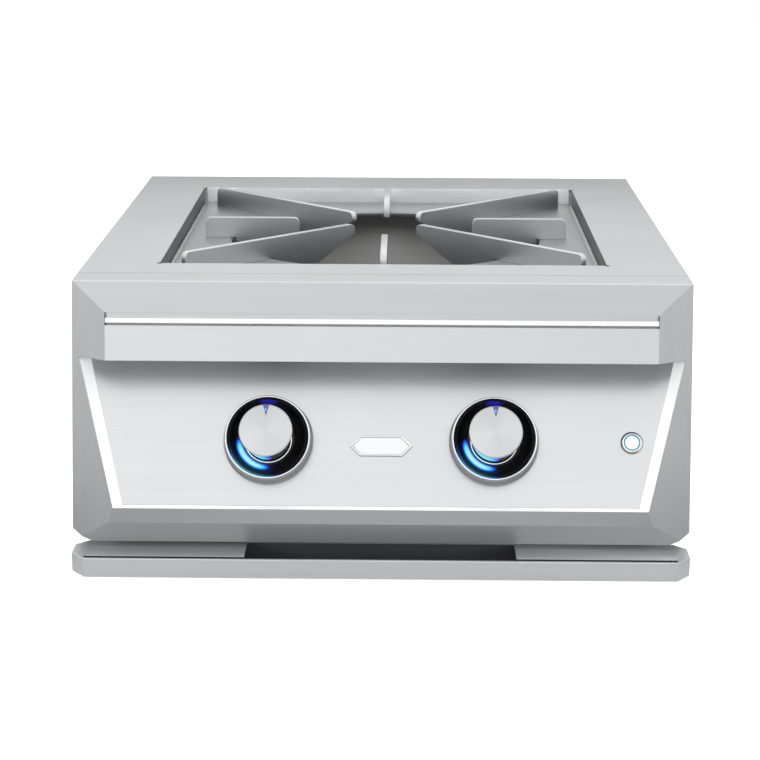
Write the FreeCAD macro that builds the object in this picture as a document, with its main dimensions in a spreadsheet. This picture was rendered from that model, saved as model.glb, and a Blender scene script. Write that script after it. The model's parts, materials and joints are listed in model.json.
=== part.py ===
import FreeCAD, Part
import math
import os
import Sketcher
from FreeCAD import Placement, Rotation, Vector

# Built in side burner: a drop-in gas burner with a flat deck, a lift-off grate,
# a leaning control panel with two knobs and a light button, and a pull-out drip tray.
# Frame: X to the right, Y away from the cook, Z up, in millimetres.
# The origin is the middle of the footprint, at the level of the base flanges.
# "Behind" is a distance behind the fascia's front plane, "below" a drop from the deck's top.

SIZES = {
    # overall
    "overall_width": 610,
    "deck_height": 284,
    "body_depth": 652,
    "handle_reach": 75,
    "gauge": 1.5,
    "liner_gauge": 1.2,
    "fit_gap": 0.3,
    "running_gap": 0.06,
    # deck
    "seam_behind": 39,
    "deck_hem": 12,
    "seam_hem": 8,
    "opening_width": 457,
    "opening_behind": 89,
    "opening_rear_margin": 88,
    "opening_wall": 19,
    "corner_relief": 3.2,
    # fascia: brow, end trims and sill
    "front_slope": 0.184,
    "bevel_slope": 0.566,
    "brow_inset": 35,
    "brow_bevel_drop": 26.4,
    "bar_top_drop": 31.2,
    "bar_bottom_drop": 36.7,
    "face_top_drop": 38.6,
    "brow_drop": 72.7,
    "groove_depth": 5,
    "bar_proud": 1.2,
    "recess_inset_top": 7.6,
    "recess_inset_bottom": 43.2,
    "sill_rise": 70.5,
    "nose_inset": 39.8,
    "nose_rise": 55.8,
    "frame_rise": 30.5,
    "corner_cut_width": 19.5,
    "corner_cut_height": 12.4,
    "sill_return": 25,
    # control panel
    "panel_lean_angle": 29,
    "ledge_depth": 9.2,
    "cheek_inset_top": 3.4,
    "cheek_inset_bottom": 7.8,
    "panel_overlap": 3,
    "panel_tuck": 14,
    "badge_length": 62,
    "badge_height": 20,
    "badge_thickness": 2,
    "badge_rise": 61,
    # knobs and valves, in heights above the panel's face
    "knob_spacing": 223,
    "knob_rise": 66,
    "bezel_radius": 44.5,
    "bezel_rim_radius": 41.2,
    "bezel_height": 17.6,
    "bezel_lip": 2.6,
    "dish_floor": 5,
    "dish_floor_radius": 35,
    "hub_hole_radius": 17,
    "halo_radius": 32,
    "halo_width": 6,
    "halo_thickness": 2,
    "knob_start": 9,
    "knob_rear_radius": 21.5,
    "knob_face_radius": 26.3,
    "knob_rim_height": 3.2,
    "knob_face_height": 44.4,
    "cap_radius": 25.9,
    "cap_thickness": 1.6,
    "stem_radius": 4,
    "stem_depth": 28,
    "stem_socket": 30,
    "panel_hole_radius": 6,
    "plug_radius": 8,
    "plug_start": 14,
    "plug_length": 22,
    "valve_start": 12,
    "valve_radius": 14,
    "valve_length": 32,
    "outlet_depth": 34,
    "outlet_start": 8,
    "outlet_length": 18,
    "inlet_depth": 24,
    "inlet_start": 14,
    "boss_radius": 7,
    # light button
    "button_inset": 22.9,
    "button_flange_radius": 11.3,
    "button_flange_height": 2.5,
    "button_barrel_radius": 9.5,
    "button_barrel_depth": 18,
    "button_radius": 6.2,
    "button_height": 3.2,
    "button_depth": 14,
    "light_ring_radius": 8.2,
    "light_ring_width": 1.4,
    "light_ring_height": 0.5,
    # gas train
    "manifold_drop": 38,
    "manifold_radius": 11,
    "manifold_wall": 2,
    "manifold_overhang": 63.5,
    "supply_pipe_radius": 8,
    "supply_pipe_wall": 1,
    "supply_pipe_inset": 20,
    "supply_bend": 30,
    "inlet_thread_radius": 7.94,
    "inlet_thread_length": 14,
    "orifice_hex_radius": 6.5,
    "orifice_hex_length": 5,
    "orifice_tip_radius": 4.5,
    "orifice_tip_length": 10,
    "mixer_gap": 8,
    "mixer_radius": 17,
    "mixer_wall": 2,
    "mixer_length": 28,
    "mixer_taper": 10,
    "tube_radius": 10,
    "tube_wall": 1.5,
    "tube_bend": 30,
    "shutter_wall": 1.4,
    "shutter_length": 20,
    "shutter_setback": 4,
    # burner
    "burner_top_drop": 85,
    "burner_height": 26,
    "outer_ring_radius": 108,
    "outer_ring_half_width": 14,
    "inner_ring_radius": 45,
    "inner_ring_half_width": 12,
    "outer_port_count": 36,
    "inner_port_count": 16,
    "port_radius": 1.8,
    "port_depth": 6,
    "burner_wall": 3,
    "bracket_behind_centre": 14,
    "bracket_width": 24,
    "bracket_depth": 12,
    "electrode_side": 76,
    "ceramic_radius": 3.5,
    "ceramic_height": 18,
    "electrode_radius": 1.5,
    "electrode_height": 9,
    # firebox
    "firebox_gap": 6,
    "ledge_width": 24,
    "firebox_rise": 68,
    "drip_hole_width": 240,
    "venturi_hole_gap": 3,
    # grate
    "grate_gap": 4.4,
    "grate_thickness": 3,
    "grate_top_drop": 17,
    "grate_hole_radius": 175,
    "lip_depth": 6,
    "fin_thickness": 7,
    "fin_rise": 5.6,
    "fin_corner_radius": 5,
    "diagonal_inner": 51.5,
    "diagonal_end_gap": 21,
    "diagonal_nose": 10.5,
    "diagonal_belly": 37,
    "diagonal_belly_start": 108,
    "fin_hole_gap": 5,
    "tab_inner": 98,
    "tab_end_gap": 24.5,
    "tab_hook": 5,
    "rib_inner": 97,
    "rib_end_gap": 23.5,
    "rib_nose": 17,
    # body shell
    "side_inset": 29,
    "side_top_flange": 12,
    "base_flange": 15,
    "rear_inset": 30,
    "vent_width": 40,
    "vent_height": 6,
    "vent_pitch": 52,
    "vent_count": 8,
    "vent_drop": 70,
    "fixing_hole_radius": 2.5,
    "fixing_spacing_depth": 400,
    "fixing_spacing_height": 120,
    "fixing_drop": 60,
    "gland_inset": 46,
    "gland_radius": 8,
    "gland_bore_radius": 4,
    "gland_flange_radius": 11,
    "gland_length": 16,
    # drip tray and its rails
    "tray_side_gap": 15,
    "tray_end_gap": 62,
    "tray_wall": 1,
    "handle_floor_gap": 2.7,
    "handle_height": 19.3,
    "handle_depth": 55,
    "handle_end_chamfer": 14,
    "handle_end_depth": 18,
    "handle_rear_chamfer": 12,
    "finger_width": 267,
    "finger_margin": 8,
    "lip_slot_behind": 3.6,
    "lip_slot_width": 5,
    "rail_ledge": 26,
    "rail_height": 17,
    "rail_start_behind": 45,
    "rail_end_gap": 22,
    "screw_radius": 2,
    "screw_head_radius": 4,
    "screw_head_height": 2,
    "screw_length": 6,
    "screw_count": 3,
    "screw_first_behind": 90,
    "screw_pitch": 210,
    # electrics
    "module_width": 70,
    "module_height": 45,
    "module_depth": 26,
    "module_inset": 11,
    "module_drop": 115,
}


class Measure:
    """A length, an angle in degrees or a ratio, with the sheet formula that gives it."""

    def __init__(self, value, formula):
        self.value = value
        self.formula = formula

    def __add__(self, other):
        other = measure(other)
        return Measure(self.value + other.value, f"({self.formula} + {other.formula})")

    def __sub__(self, other):
        other = measure(other)
        return Measure(self.value - other.value, f"({self.formula} - {other.formula})")

    def __mul__(self, other):
        other = measure(other)
        return Measure(self.value * other.value, f"({self.formula} * {other.formula})")

    def __truediv__(self, other):
        other = measure(other)
        return Measure(self.value / other.value, f"({self.formula} / {other.formula})")

    def __radd__(self, other):
        return measure(other) + self

    def __rsub__(self, other):
        return measure(other) - self

    def __rmul__(self, other):
        return measure(other) * self

    def __neg__(self):
        return measure(0) - self


def measure(number):
    """The number itself as a Measure, when it isn't one already."""
    if isinstance(number, Measure):
        return number
    return Measure(number, f"({number})")


def sine(angle):
    return Measure(math.sin(math.radians(angle.value)), f"sin({angle.formula})")


def cosine(angle):
    return Measure(math.cos(math.radians(angle.value)), f"cos({angle.formula})")


def tangent(angle):
    return Measure(math.tan(math.radians(angle.value)), f"tan({angle.formula})")


def root(square):
    return Measure(math.sqrt(square.value), f"sqrt({square.formula})")


def least(one, other):
    return Measure(min(one.value, other.value), f"min({one.formula}; {other.formula})")


doc = FreeCAD.newDocument("side_burner")


def write_sheet():
    """Put every driving dimension in the sheet, under its own alias."""
    table = doc.addObject("Spreadsheet::Sheet", "Sizes")
    for row, (name, value) in enumerate(SIZES.items(), start=1):
        table.set(f"A{row}", name)
        table.set(f"B{row}", str(value))
        table.setAlias(f"B{row}", name)
    doc.recompute()
    return table


sheet = write_sheet()


def size(name):
    """A driving dimension, read from the sheet."""
    return Measure(float(sheet.get(name)), f"Sizes.{name}")


# Places that several pieces share.

half_width = size("overall_width") / 2
deck_top = size("deck_height")
front = size("handle_reach") - (size("handle_reach") + size("body_depth")) / 2
gauge = size("gauge")
liner = size("liner_gauge")
lean = size("panel_lean_angle")
tilt = 90 - lean


def behind(distance):
    """The Y of a place that lies this far behind the fascia's front plane."""
    return front + distance


def below(drop):
    """The Z of a place that lies this far below the deck's top."""
    return deck_top - drop


def face_y(inset, drop):
    """The Y of the leaning bevelled face, this far in from the side and below the deck."""
    return front - size("front_slope") * drop - size("bevel_slope") * inset


seam = behind(size("seam_behind"))
brow_half = half_width - size("brow_inset")
recess_half_top = half_width - size("recess_inset_top")
recess_half_bottom = half_width - size("recess_inset_bottom")
nose_half = half_width - size("nose_inset")
sill_drop = deck_top - size("sill_rise")
nose_drop = deck_top - size("nose_rise")
frame_drop = deck_top - size("frame_rise")
sill_edge_y = face_y(size("recess_inset_bottom"), sill_drop)
panel_foot_y = sill_edge_y + size("ledge_depth")
panel_foot_z = below(sill_drop)
recess_height = sill_drop - size("brow_drop")
panel_head_y = panel_foot_y + recess_height * tangent(lean)
panel_half_bottom = recess_half_bottom - size("cheek_inset_bottom")
panel_half_top = recess_half_top - size("cheek_inset_top")
knob_side = size("knob_spacing") / 2
knob_y = panel_foot_y + size("knob_rise") * sine(lean)
knob_z = panel_foot_z + size("knob_rise") * cosine(lean)
knob_level = size("knob_rise") * cosine(lean) / recess_height
panel_half_knob = panel_half_bottom + (panel_half_top - panel_half_bottom) * knob_level
button_side = panel_half_knob - size("button_inset")
outlet_y = knob_y + size("outlet_depth") * cosine(lean)
outlet_z = knob_z - size("outlet_depth") * sine(lean)
outlet_end_y = outlet_y + size("outlet_start") + size("outlet_length")
inlet_y = knob_y + size("inlet_depth") * cosine(lean)
inlet_z = knob_z - size("inlet_depth") * sine(lean)
manifold_z = inlet_z - size("manifold_drop")
manifold_half = knob_side + size("manifold_overhang")
opening_half = size("opening_width") / 2
opening_front = behind(size("opening_behind"))
opening_rear = behind(size("body_depth")) - size("opening_rear_margin")
opening_half_depth = (opening_rear - opening_front) / 2
grate_y = opening_front + opening_half_depth
plate_top = below(size("grate_top_drop"))
plate_bottom = plate_top - size("grate_thickness")
ledge_top = plate_bottom - size("fit_gap")
firebox_half = opening_half + gauge + size("firebox_gap")
firebox_front = opening_front - gauge - size("firebox_gap")
firebox_rear = opening_rear + gauge + size("firebox_gap")
firebox_bottom = size("firebox_rise")
burner_top = below(size("burner_top_drop"))
burner_bottom = burner_top - size("burner_height")
mixer_y = outlet_end_y + size("mixer_gap")
side_wall = half_width - size("side_inset")
rear_wall = behind(size("body_depth")) - size("rear_inset")
supply_pipe_side = side_wall - size("supply_pipe_inset")
gland_side = size("gland_inset") - side_wall
tray_half = side_wall - gauge * 2 - size("tray_side_gap")
handle_front = front - size("handle_reach")
handle_bottom = size("handle_floor_gap")
handle_top = handle_bottom + size("handle_height")
handle_rear = handle_front + size("handle_depth")
rail_bottom = gauge * 2
rail_top = rail_bottom + gauge
tray_bottom = rail_top + size("fit_gap")


# Sketches and features.

def new_body(name):
    body = doc.addObject("PartDesign::Body", name)
    body.Label = name
    body.AllowCompound = True
    return body


def origin_feature(body, role):
    """One of the body's own origin planes or axes."""
    return next(item for item in body.Origin.OriginFeatures if item.Role == role)


def place(body, x=0, y=0, z=0, turn=None):
    """Move a body to x, y, z and turn it about X."""
    spot = [measure(length) for length in (x, y, z)]
    angle = measure(0 if turn is None else turn)
    turning = Rotation(Vector(1, 0, 0), angle.value)
    body.Placement = Placement(Vector(*[length.value for length in spot]), turning)
    for axis, length in zip("xyz", spot):
        body.setExpression(f"Placement.Base.{axis}", length.formula)
    if turn is not None:
        body.setExpression("Placement.Rotation.Angle", angle.formula)


def place_on_panel(body, x, rise):
    """Stand a body on the control panel's face, its own Z along the face's normal."""
    place(body, x, panel_foot_y + rise * sine(lean), panel_foot_z + rise * cosine(lean), tilt)


def sketch_on(body, name, plane, offset=0, turn=None):
    """A sketch on one of the body's planes, moved along the normal and turned about X."""
    sketch = body.newObject("Sketcher::SketchObject", f"{body.Name}_{name}")
    sketch.AttachmentSupport = [(origin_feature(body, plane), "")]
    sketch.MapMode = "FlatFace"
    lift = measure(offset)
    angle = measure(0 if turn is None else turn)
    turning = Rotation(Vector(1, 0, 0), angle.value)
    sketch.AttachmentOffset = Placement(Vector(0, 0, lift.value), turning)
    sketch.setExpression("AttachmentOffset.Base.z", lift.formula)
    if turn is not None:
        sketch.setExpression("AttachmentOffset.Rotation.Angle", angle.formula)
    return sketch


def pin(sketch, geometry, point, x, y):
    """Hold a point of the sketch at x, y from the sketch's origin."""
    for kind, length in (("DistanceX", measure(x)), ("DistanceY", measure(y))):
        rule = Sketcher.Constraint(kind, -1, 1, geometry, point, length.value)
        index = sketch.addConstraint(rule)
        sketch.setExpression(f"Constraints[{index}]", length.formula)


def draw_polygon(sketch, corners):
    """A closed outline of straight lines, every corner held by its two sizes."""
    corners = [(measure(x), measure(y)) for x, y in corners]
    spots = [Vector(x.value, y.value, 0) for x, y in corners]
    first = sketch.GeometryCount
    count = len(corners)
    for index, spot in enumerate(spots):
        sketch.addGeometry(Part.LineSegment(spot, spots[(index + 1) % count]))
    for index in range(count):
        following = first + (index + 1) % count
        sketch.addConstraint(Sketcher.Constraint("Coincident", first + index, 2, following, 1))
    for index, (x, y) in enumerate(corners):
        pin(sketch, first + index, 1, x, y)


def eased_corner(x, y, x_way, y_way, radius):
    """Three points that round a corner, from its upright side to its level one."""
    middle = radius * (1 - math.sqrt(0.5))
    return [
        (x, y + y_way * radius),
        (x + x_way * middle, y + y_way * middle),
        (x + x_way * radius, y),
    ]


def draw_box(sketch, x_low, x_high, y_low, y_high):
    draw_polygon(sketch, [(x_low, y_low), (x_high, y_low), (x_high, y_high), (x_low, y_high)])


def draw_circle(sketch, x, y, radius):
    x, y, radius = measure(x), measure(y), measure(radius)
    centre = Vector(x.value, y.value, 0)
    ring = sketch.addGeometry(Part.Circle(centre, Vector(0, 0, 1), radius.value))
    pin(sketch, ring, 3, x, y)
    index = sketch.addConstraint(Sketcher.Constraint("Radius", ring, radius.value))
    sketch.setExpression(f"Constraints[{index}]", radius.formula)


def folded_outline(path, thickness):
    """The outline of a folded sheet whose outer face follows the path.

    The inner face is the path moved to its left by the thickness; each inner
    corner is where the two moved runs beside it meet.
    """
    path = [(measure(a), measure(b)) for a, b in path]
    normals = []
    for (a1, b1), (a2, b2) in zip(path, path[1:]):
        run_a, run_b = a2 - a1, b2 - b1
        length = root(run_a * run_a + run_b * run_b)
        normals.append(((b1 - b2) / length, run_a / length))
    sides = zip([normals[0]] + normals, normals + [normals[-1]])
    inner = []
    for (a, b), ((na, nb), (ma, mb)) in zip(path, sides):
        reach = thickness / (1 + na * ma + nb * mb)
        inner.append((a + reach * (na + ma), b + reach * (nb + mb)))
    return path + inner[::-1]


def run_feature(body, kind, sketch, length, both, turned):
    feature = body.newObject(f"PartDesign::{kind}", f"{sketch.Name}_{kind.lower()}")
    feature.Profile = sketch
    feature.SideType = "Symmetric" if both else "One side"
    feature.Reversed = turned
    if length is None:
        feature.Type = "ThroughAll"
    else:
        length = measure(length)
        feature.Length = length.value
        feature.setExpression("Length", length.formula)
    sketch.Visibility = False
    return feature


def pad(body, sketch, length, both=False, turned=False):
    return run_feature(body, "Pad", sketch, length, both, turned)


def pocket(body, sketch, length=None, both=False, turned=False):
    """Cut a sketch's outline out of a body; with no length it goes right through."""
    return run_feature(body, "Pocket", sketch, length, both or length is None, turned)


def revolve(body, sketch, axis="V_Axis"):
    feature = body.newObject("PartDesign::Revolution", f"{sketch.Name}_turned")
    feature.Profile = sketch
    feature.ReferenceAxis = (sketch, [axis])
    feature.Angle = 360
    return feature


def hollow_round(body, sketch, axis="V_Axis"):
    """Take a turned hollow out of a body."""
    feature = body.newObject("PartDesign::Groove", f"{sketch.Name}_hollow")
    feature.Profile = sketch
    feature.ReferenceAxis = (sketch, [axis])
    feature.Angle = 360
    return feature


def turned_piece(name, outline):
    """A round piece on the body's Z axis, from an outline of radius and height."""
    body = new_body(name)
    profile = sketch_on(body, "profile", "XZ_Plane")
    draw_polygon(profile, outline)
    revolve(body, profile)
    return body


def ring_outline(inner, outer, low, high):
    return [(inner, low), (outer, low), (outer, high), (inner, high)]


# Deck.

def make_top_deck():
    body = new_body("top_deck")
    rear = behind(size("body_depth"))
    rim = sketch_on(body, "rim", "XY_Plane", below(size("deck_hem")))
    draw_box(rim, -half_width, half_width, seam, rear)
    pad(body, rim, size("deck_hem"))
    hollow = sketch_on(body, "hollow", "XY_Plane", below(size("deck_hem")))
    draw_box(hollow, gauge - half_width, half_width - gauge, seam + gauge, rear - gauge)
    pocket(body, hollow, size("deck_hem") - gauge, turned=True)
    seam_edge = sketch_on(body, "seam_edge", "XY_Plane", below(size("deck_hem")))
    draw_box(seam_edge, gauge - half_width, half_width - gauge, seam, seam + gauge)
    pocket(body, seam_edge, size("deck_hem") - size("seam_hem"), turned=True)
    opening = sketch_on(body, "opening", "XY_Plane")
    draw_box(opening, -opening_half, opening_half, opening_front, opening_rear)
    pocket(body, opening)
    walls = sketch_on(body, "walls", "XY_Plane", below(size("opening_wall")))
    relief = size("corner_relief")
    for low, high in ((opening_front - gauge, opening_front), (opening_rear, opening_rear + gauge)):
        draw_box(walls, relief - opening_half, opening_half - relief, low, high)
    for low in (-opening_half - gauge, opening_half):
        draw_box(walls, low, low + gauge, opening_front + relief, opening_rear - relief)
    pad(body, walls, size("opening_wall") - gauge)
    reliefs = sketch_on(body, "reliefs", "XY_Plane")
    for side in (-1, 1):
        for corner_y in (opening_front, opening_rear):
            draw_circle(reliefs, side * opening_half, corner_y, relief)
    pocket(body, reliefs)
    return body


# Fascia.

def draw_mitre_waste(sketch, side):
    """What lies beyond the brow's end: outside its mitre and its upright end."""
    inset, drop = size("brow_inset"), size("brow_bevel_drop")
    far = side * (half_width + inset)
    draw_polygon(sketch, [
        (side * (half_width + inset / 2), deck_top + drop / 2),
        (side * brow_half, below(drop)),
        (side * brow_half, below(size("brow_drop")) - inset),
        (far, below(size("brow_drop")) - inset),
        (far, deck_top + drop / 2),
    ])


def make_front_brow():
    body = new_body("front_brow")
    profile = sketch_on(body, "profile", "YZ_Plane")
    inset = size("brow_inset")
    bevel_y = face_y(inset, size("brow_bevel_drop"))
    path = [
        (seam, deck_top),
        (front, deck_top),
        (bevel_y, below(size("brow_bevel_drop"))),
        (bevel_y + size("groove_depth"), below(size("brow_bevel_drop"))),
        (bevel_y + size("groove_depth"), below(size("face_top_drop"))),
        (face_y(inset, size("face_top_drop")), below(size("face_top_drop"))),
        (face_y(inset, size("brow_drop")), below(size("brow_drop"))),
        (panel_head_y - size("fit_gap"), below(size("brow_drop"))),
    ]
    draw_polygon(profile, folded_outline(path, gauge))
    pad(body, profile, size("overall_width"), both=True)
    ends = sketch_on(body, "ends", "XZ_Plane")
    for side in (-1, 1):
        draw_mitre_waste(ends, side)
    pocket(body, ends)
    shelf = sketch_on(body, "shelf", "XY_Plane", below(size("brow_drop")))
    shelf_half = recess_half_top - gauge
    shelf_front = face_y(size("recess_inset_top"), size("brow_drop")) + gauge * 2
    draw_box(shelf, -shelf_half, shelf_half, shelf_front, panel_head_y - size("fit_gap"))
    pad(body, shelf, gauge)
    return body


def make_brow_bar():
    """The polished bar that lies in the brow's groove and stands a little proud of it."""
    body = new_body("brow_bar")
    inset = size("brow_inset")
    back_y = face_y(inset, size("brow_bevel_drop")) + size("groove_depth")
    front_y = face_y(inset, size("bar_top_drop")) - size("bar_proud")
    profile = sketch_on(body, "profile", "YZ_Plane")
    nose = (size("bar_bottom_drop") - size("bar_top_drop")) / 4
    draw_polygon(profile, [
        (back_y, below(size("bar_top_drop"))),
        (back_y, below(size("bar_bottom_drop"))),
        (front_y + nose, below(size("bar_bottom_drop"))),
        (front_y, below(size("bar_bottom_drop")) + nose),
        (front_y, below(size("bar_top_drop")) - nose),
        (front_y + nose, below(size("bar_top_drop"))),
    ])
    pad(body, profile, (brow_half - size("fit_gap")) * 2, both=True)
    return body


def draw_corner_waste(sketch, side):
    """The triangle that the fascia's lower corner loses."""
    edge, low = half_width, below(frame_drop)
    width, height = size("corner_cut_width"), size("corner_cut_height")
    draw_polygon(sketch, [
        (side * (edge + width), low + height * 2),
        (side * (edge - width * 2), low - height),
        (side * (edge + width), low - height),
    ])


def make_end_trim(name, side):
    """An upright of the fascia: a leaning bevelled face with a side flange behind it."""
    body = new_body(name)
    drop = frame_drop
    width = size("recess_inset_bottom") + gauge * 2
    section = sketch_on(body, "section", "XY_Plane", below(drop))
    path = [
        (side * (half_width - width), face_y(width, drop)),
        (side * half_width, face_y(0, drop)),
        (side * half_width, seam + gauge),
    ]
    draw_polygon(section, folded_outline(path, side * gauge))
    upright = pad(body, section, drop)
    upright.UseCustomVector = True
    upright.AlongSketchNormal = True
    upright.Direction = Vector(0, size("front_slope").value, 1)
    upright.setExpression("Direction.y", size("front_slope").formula)
    inner = sketch_on(body, "inner", "XZ_Plane")
    bevel, inset = size("brow_bevel_drop"), size("brow_inset")
    inboard = side * (recess_half_bottom - inset)
    foot = size("nose_inset") / 2
    foot_drop = (drop - nose_drop) / 2
    draw_polygon(inner, [
        (side * (half_width + inset / 2), deck_top + bevel / 2),
        (side * brow_half, below(bevel)),
        (side * brow_half, below(size("brow_drop"))),
        (side * recess_half_top, below(size("brow_drop"))),
        (side * recess_half_bottom, below(sill_drop)),
        (side * nose_half, below(nose_drop)),
        (side * (half_width + foot), below(drop) - foot_drop),
        (inboard, below(drop) - foot_drop),
        (inboard, deck_top + bevel / 2),
    ])
    pocket(body, inner)
    corner = sketch_on(body, "corner", "XZ_Plane")
    draw_corner_waste(corner, side)
    pocket(body, corner)
    rear_cut = sketch_on(body, "rear_cut", "YZ_Plane")
    far = seam + size("front_slope") * drop * 2
    draw_box(rear_cut, seam, far, below(drop) - gauge, deck_top + gauge)
    pocket(body, rear_cut)
    back_plate = sketch_on(body, "back_plate", "XY_Plane", below(drop - size("corner_cut_height")))
    draw_box(back_plate, side * side_wall, side * (half_width - gauge), seam - gauge, seam)
    pad(body, back_plate, drop - size("corner_cut_height") - size("deck_hem"))
    return body


def make_cheek(name, side):
    """The polished side wall of the recess, between the end trim and the control panel."""
    body = new_body(name)
    sections = []
    levels = (
        ("foot", sill_drop, recess_half_bottom, panel_half_bottom, panel_foot_y),
        ("head", size("brow_drop"), recess_half_top, panel_half_top, panel_head_y),
    )
    for label, drop, edge, panel_half, panel_y in levels:
        edge_y = face_y(half_width - edge, drop) + gauge * 2
        section = sketch_on(body, label, "XY_Plane", below(drop))
        draw_polygon(section, [
            (side * edge, edge_y),
            (side * panel_half, panel_y),
            (side * (panel_half + liner), panel_y),
            (side * (edge + liner), edge_y),
        ])
        sections.append(section)
    wall = body.newObject("PartDesign::AdditiveLoft", f"{name}_loft")
    wall.Profile = sections[0]
    wall.Sections = [sections[1]]
    wall.Ruled = True
    return body


def make_front_sill():
    body = new_body("front_sill")
    profile = sketch_on(body, "profile", "YZ_Plane")
    bottom_y = face_y(0, frame_drop)
    path = [
        (panel_foot_y + size("ledge_depth"), below(sill_drop)),
        (sill_edge_y, below(sill_drop)),
        (face_y(size("nose_inset"), nose_drop), below(nose_drop)),
        (bottom_y, below(frame_drop)),
        (bottom_y + size("sill_return"), below(frame_drop)),
    ]
    draw_polygon(profile, folded_outline(path, gauge))
    pad(body, profile, size("overall_width"), both=True)
    ends = sketch_on(body, "ends", "XZ_Plane")
    foot = size("nose_inset") / 2
    foot_drop = (frame_drop - nose_drop) / 2
    far = half_width + size("brow_inset")
    for side in (-1, 1):
        draw_polygon(ends, [
            (side * recess_half_bottom, below(sill_drop) + gauge),
            (side * recess_half_bottom, below(sill_drop)),
            (side * nose_half, below(nose_drop)),
            (side * (half_width + foot), below(frame_drop) - foot_drop),
            (side * far, below(frame_drop) - foot_drop),
            (side * far, below(sill_drop) + gauge),
        ])
    pocket(body, ends)
    corners = sketch_on(body, "corners", "XZ_Plane")
    for side in (-1, 1):
        draw_corner_waste(corners, side)
    pocket(body, corners)
    return body


def make_control_panel():
    body = new_body("control_panel")
    place(body, 0, panel_foot_y, panel_foot_z, tilt)
    length = recess_height / cosine(lean)
    foot = gauge * tangent(lean)
    spread = (panel_half_top - panel_half_bottom) / length
    head = length + size("panel_tuck")
    outline = sketch_on(body, "outline", "XY_Plane")
    corners = []
    for side, order in ((-1, (head, foot)), (1, (foot, head))):
        for rise in order:
            corners.append((side * (panel_half_bottom + size("panel_overlap") + spread * rise), rise))
    draw_polygon(outline, corners)
    pad(body, outline, gauge, turned=True)
    holes = sketch_on(body, "holes", "XY_Plane")
    for side in (-1, 1):
        draw_circle(holes, side * knob_side, size("knob_rise"), size("panel_hole_radius"))
    barrel = size("button_barrel_radius") + size("running_gap")
    draw_circle(holes, button_side, size("knob_rise"), barrel)
    pocket(body, holes)
    return body


def make_badge_plate():
    """A blank plate between the knobs, with cut corners and a raised edge."""
    body = new_body("badge_plate")
    place_on_panel(body, 0, size("badge_rise"))
    half, tall = size("badge_length") / 2, size("badge_height") / 2
    outline = sketch_on(body, "outline", "XY_Plane")
    draw_polygon(outline, [
        (-half, 0), (tall - half, -tall), (half - tall, -tall),
        (half, 0), (half - tall, tall), (tall - half, tall),
    ])
    pad(body, outline, size("badge_thickness"))
    field = sketch_on(body, "field", "XY_Plane", size("badge_thickness"))
    edge = gauge
    inner, low = half - edge * 2, tall - edge
    draw_polygon(field, [
        (-inner, 0), (low - inner, -low), (inner - low, -low),
        (inner, 0), (inner - low, low), (low - inner, low),
    ])
    pocket(body, field, size("badge_thickness") / 2)
    return body


# Knobs, valves and the light button. Heights are above the panel's face.

def make_bezel(name, side):
    lip = size("bezel_lip")
    body = turned_piece(name, [
        (size("hub_hole_radius"), 0),
        (size("bezel_radius"), 0),
        (size("bezel_radius"), lip),
        (size("bezel_rim_radius"), size("bezel_height")),
        (size("bezel_rim_radius") - lip, size("bezel_height")),
        (size("dish_floor_radius"), size("dish_floor")),
        (size("hub_hole_radius"), size("dish_floor")),
    ])
    place_on_panel(body, side * knob_side, size("knob_rise"))
    return body


def make_halo_lens(name, side):
    floor = size("dish_floor")
    inner = size("halo_radius") - size("halo_width")
    high = floor + size("halo_thickness")
    body = turned_piece(name, ring_outline(inner, size("halo_radius"), floor, high))
    place_on_panel(body, side * knob_side, size("knob_rise"))
    return body


def make_knob(name, side):
    """The knob's moulding, which widens from its rear to the rim round its face."""
    start, face = size("knob_start"), size("knob_face_height")
    body = turned_piece(name, [
        (size("stem_radius"), start),
        (size("knob_rear_radius"), start),
        (size("knob_face_radius"), face - size("knob_rim_height")),
        (size("knob_face_radius"), face),
        (0, face),
        (0, size("stem_socket")),
        (size("stem_radius"), size("stem_socket")),
    ])
    place_on_panel(body, side * knob_side, size("knob_rise"))
    return body


def make_knob_cap(name, side):
    low = size("knob_face_height")
    high = low + size("cap_thickness")
    break_edge = size("cap_thickness") / 2
    body = turned_piece(name, [
        (0, low),
        (size("cap_radius"), low),
        (size("cap_radius"), high - break_edge),
        (size("cap_radius") - break_edge, high),
        (0, high),
    ])
    place_on_panel(body, side * knob_side, size("knob_rise"))
    return body


def make_valve_stem(name, side):
    low, high = -size("stem_depth"), size("stem_socket")
    body = turned_piece(name, ring_outline(0, size("stem_radius"), low, high))
    place_on_panel(body, side * knob_side, size("knob_rise"))
    return body


def make_valve_plug(name, side):
    top = -size("plug_start")
    low = top - size("plug_length")
    bore = size("stem_radius") + size("running_gap")
    floor = low + size("stem_radius")
    body = turned_piece(name, [
        (0, low), (size("plug_radius"), low), (size("plug_radius"), top),
        (bore, top), (bore, floor), (0, floor),
    ])
    place_on_panel(body, side * knob_side, size("knob_rise"))
    return body


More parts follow.
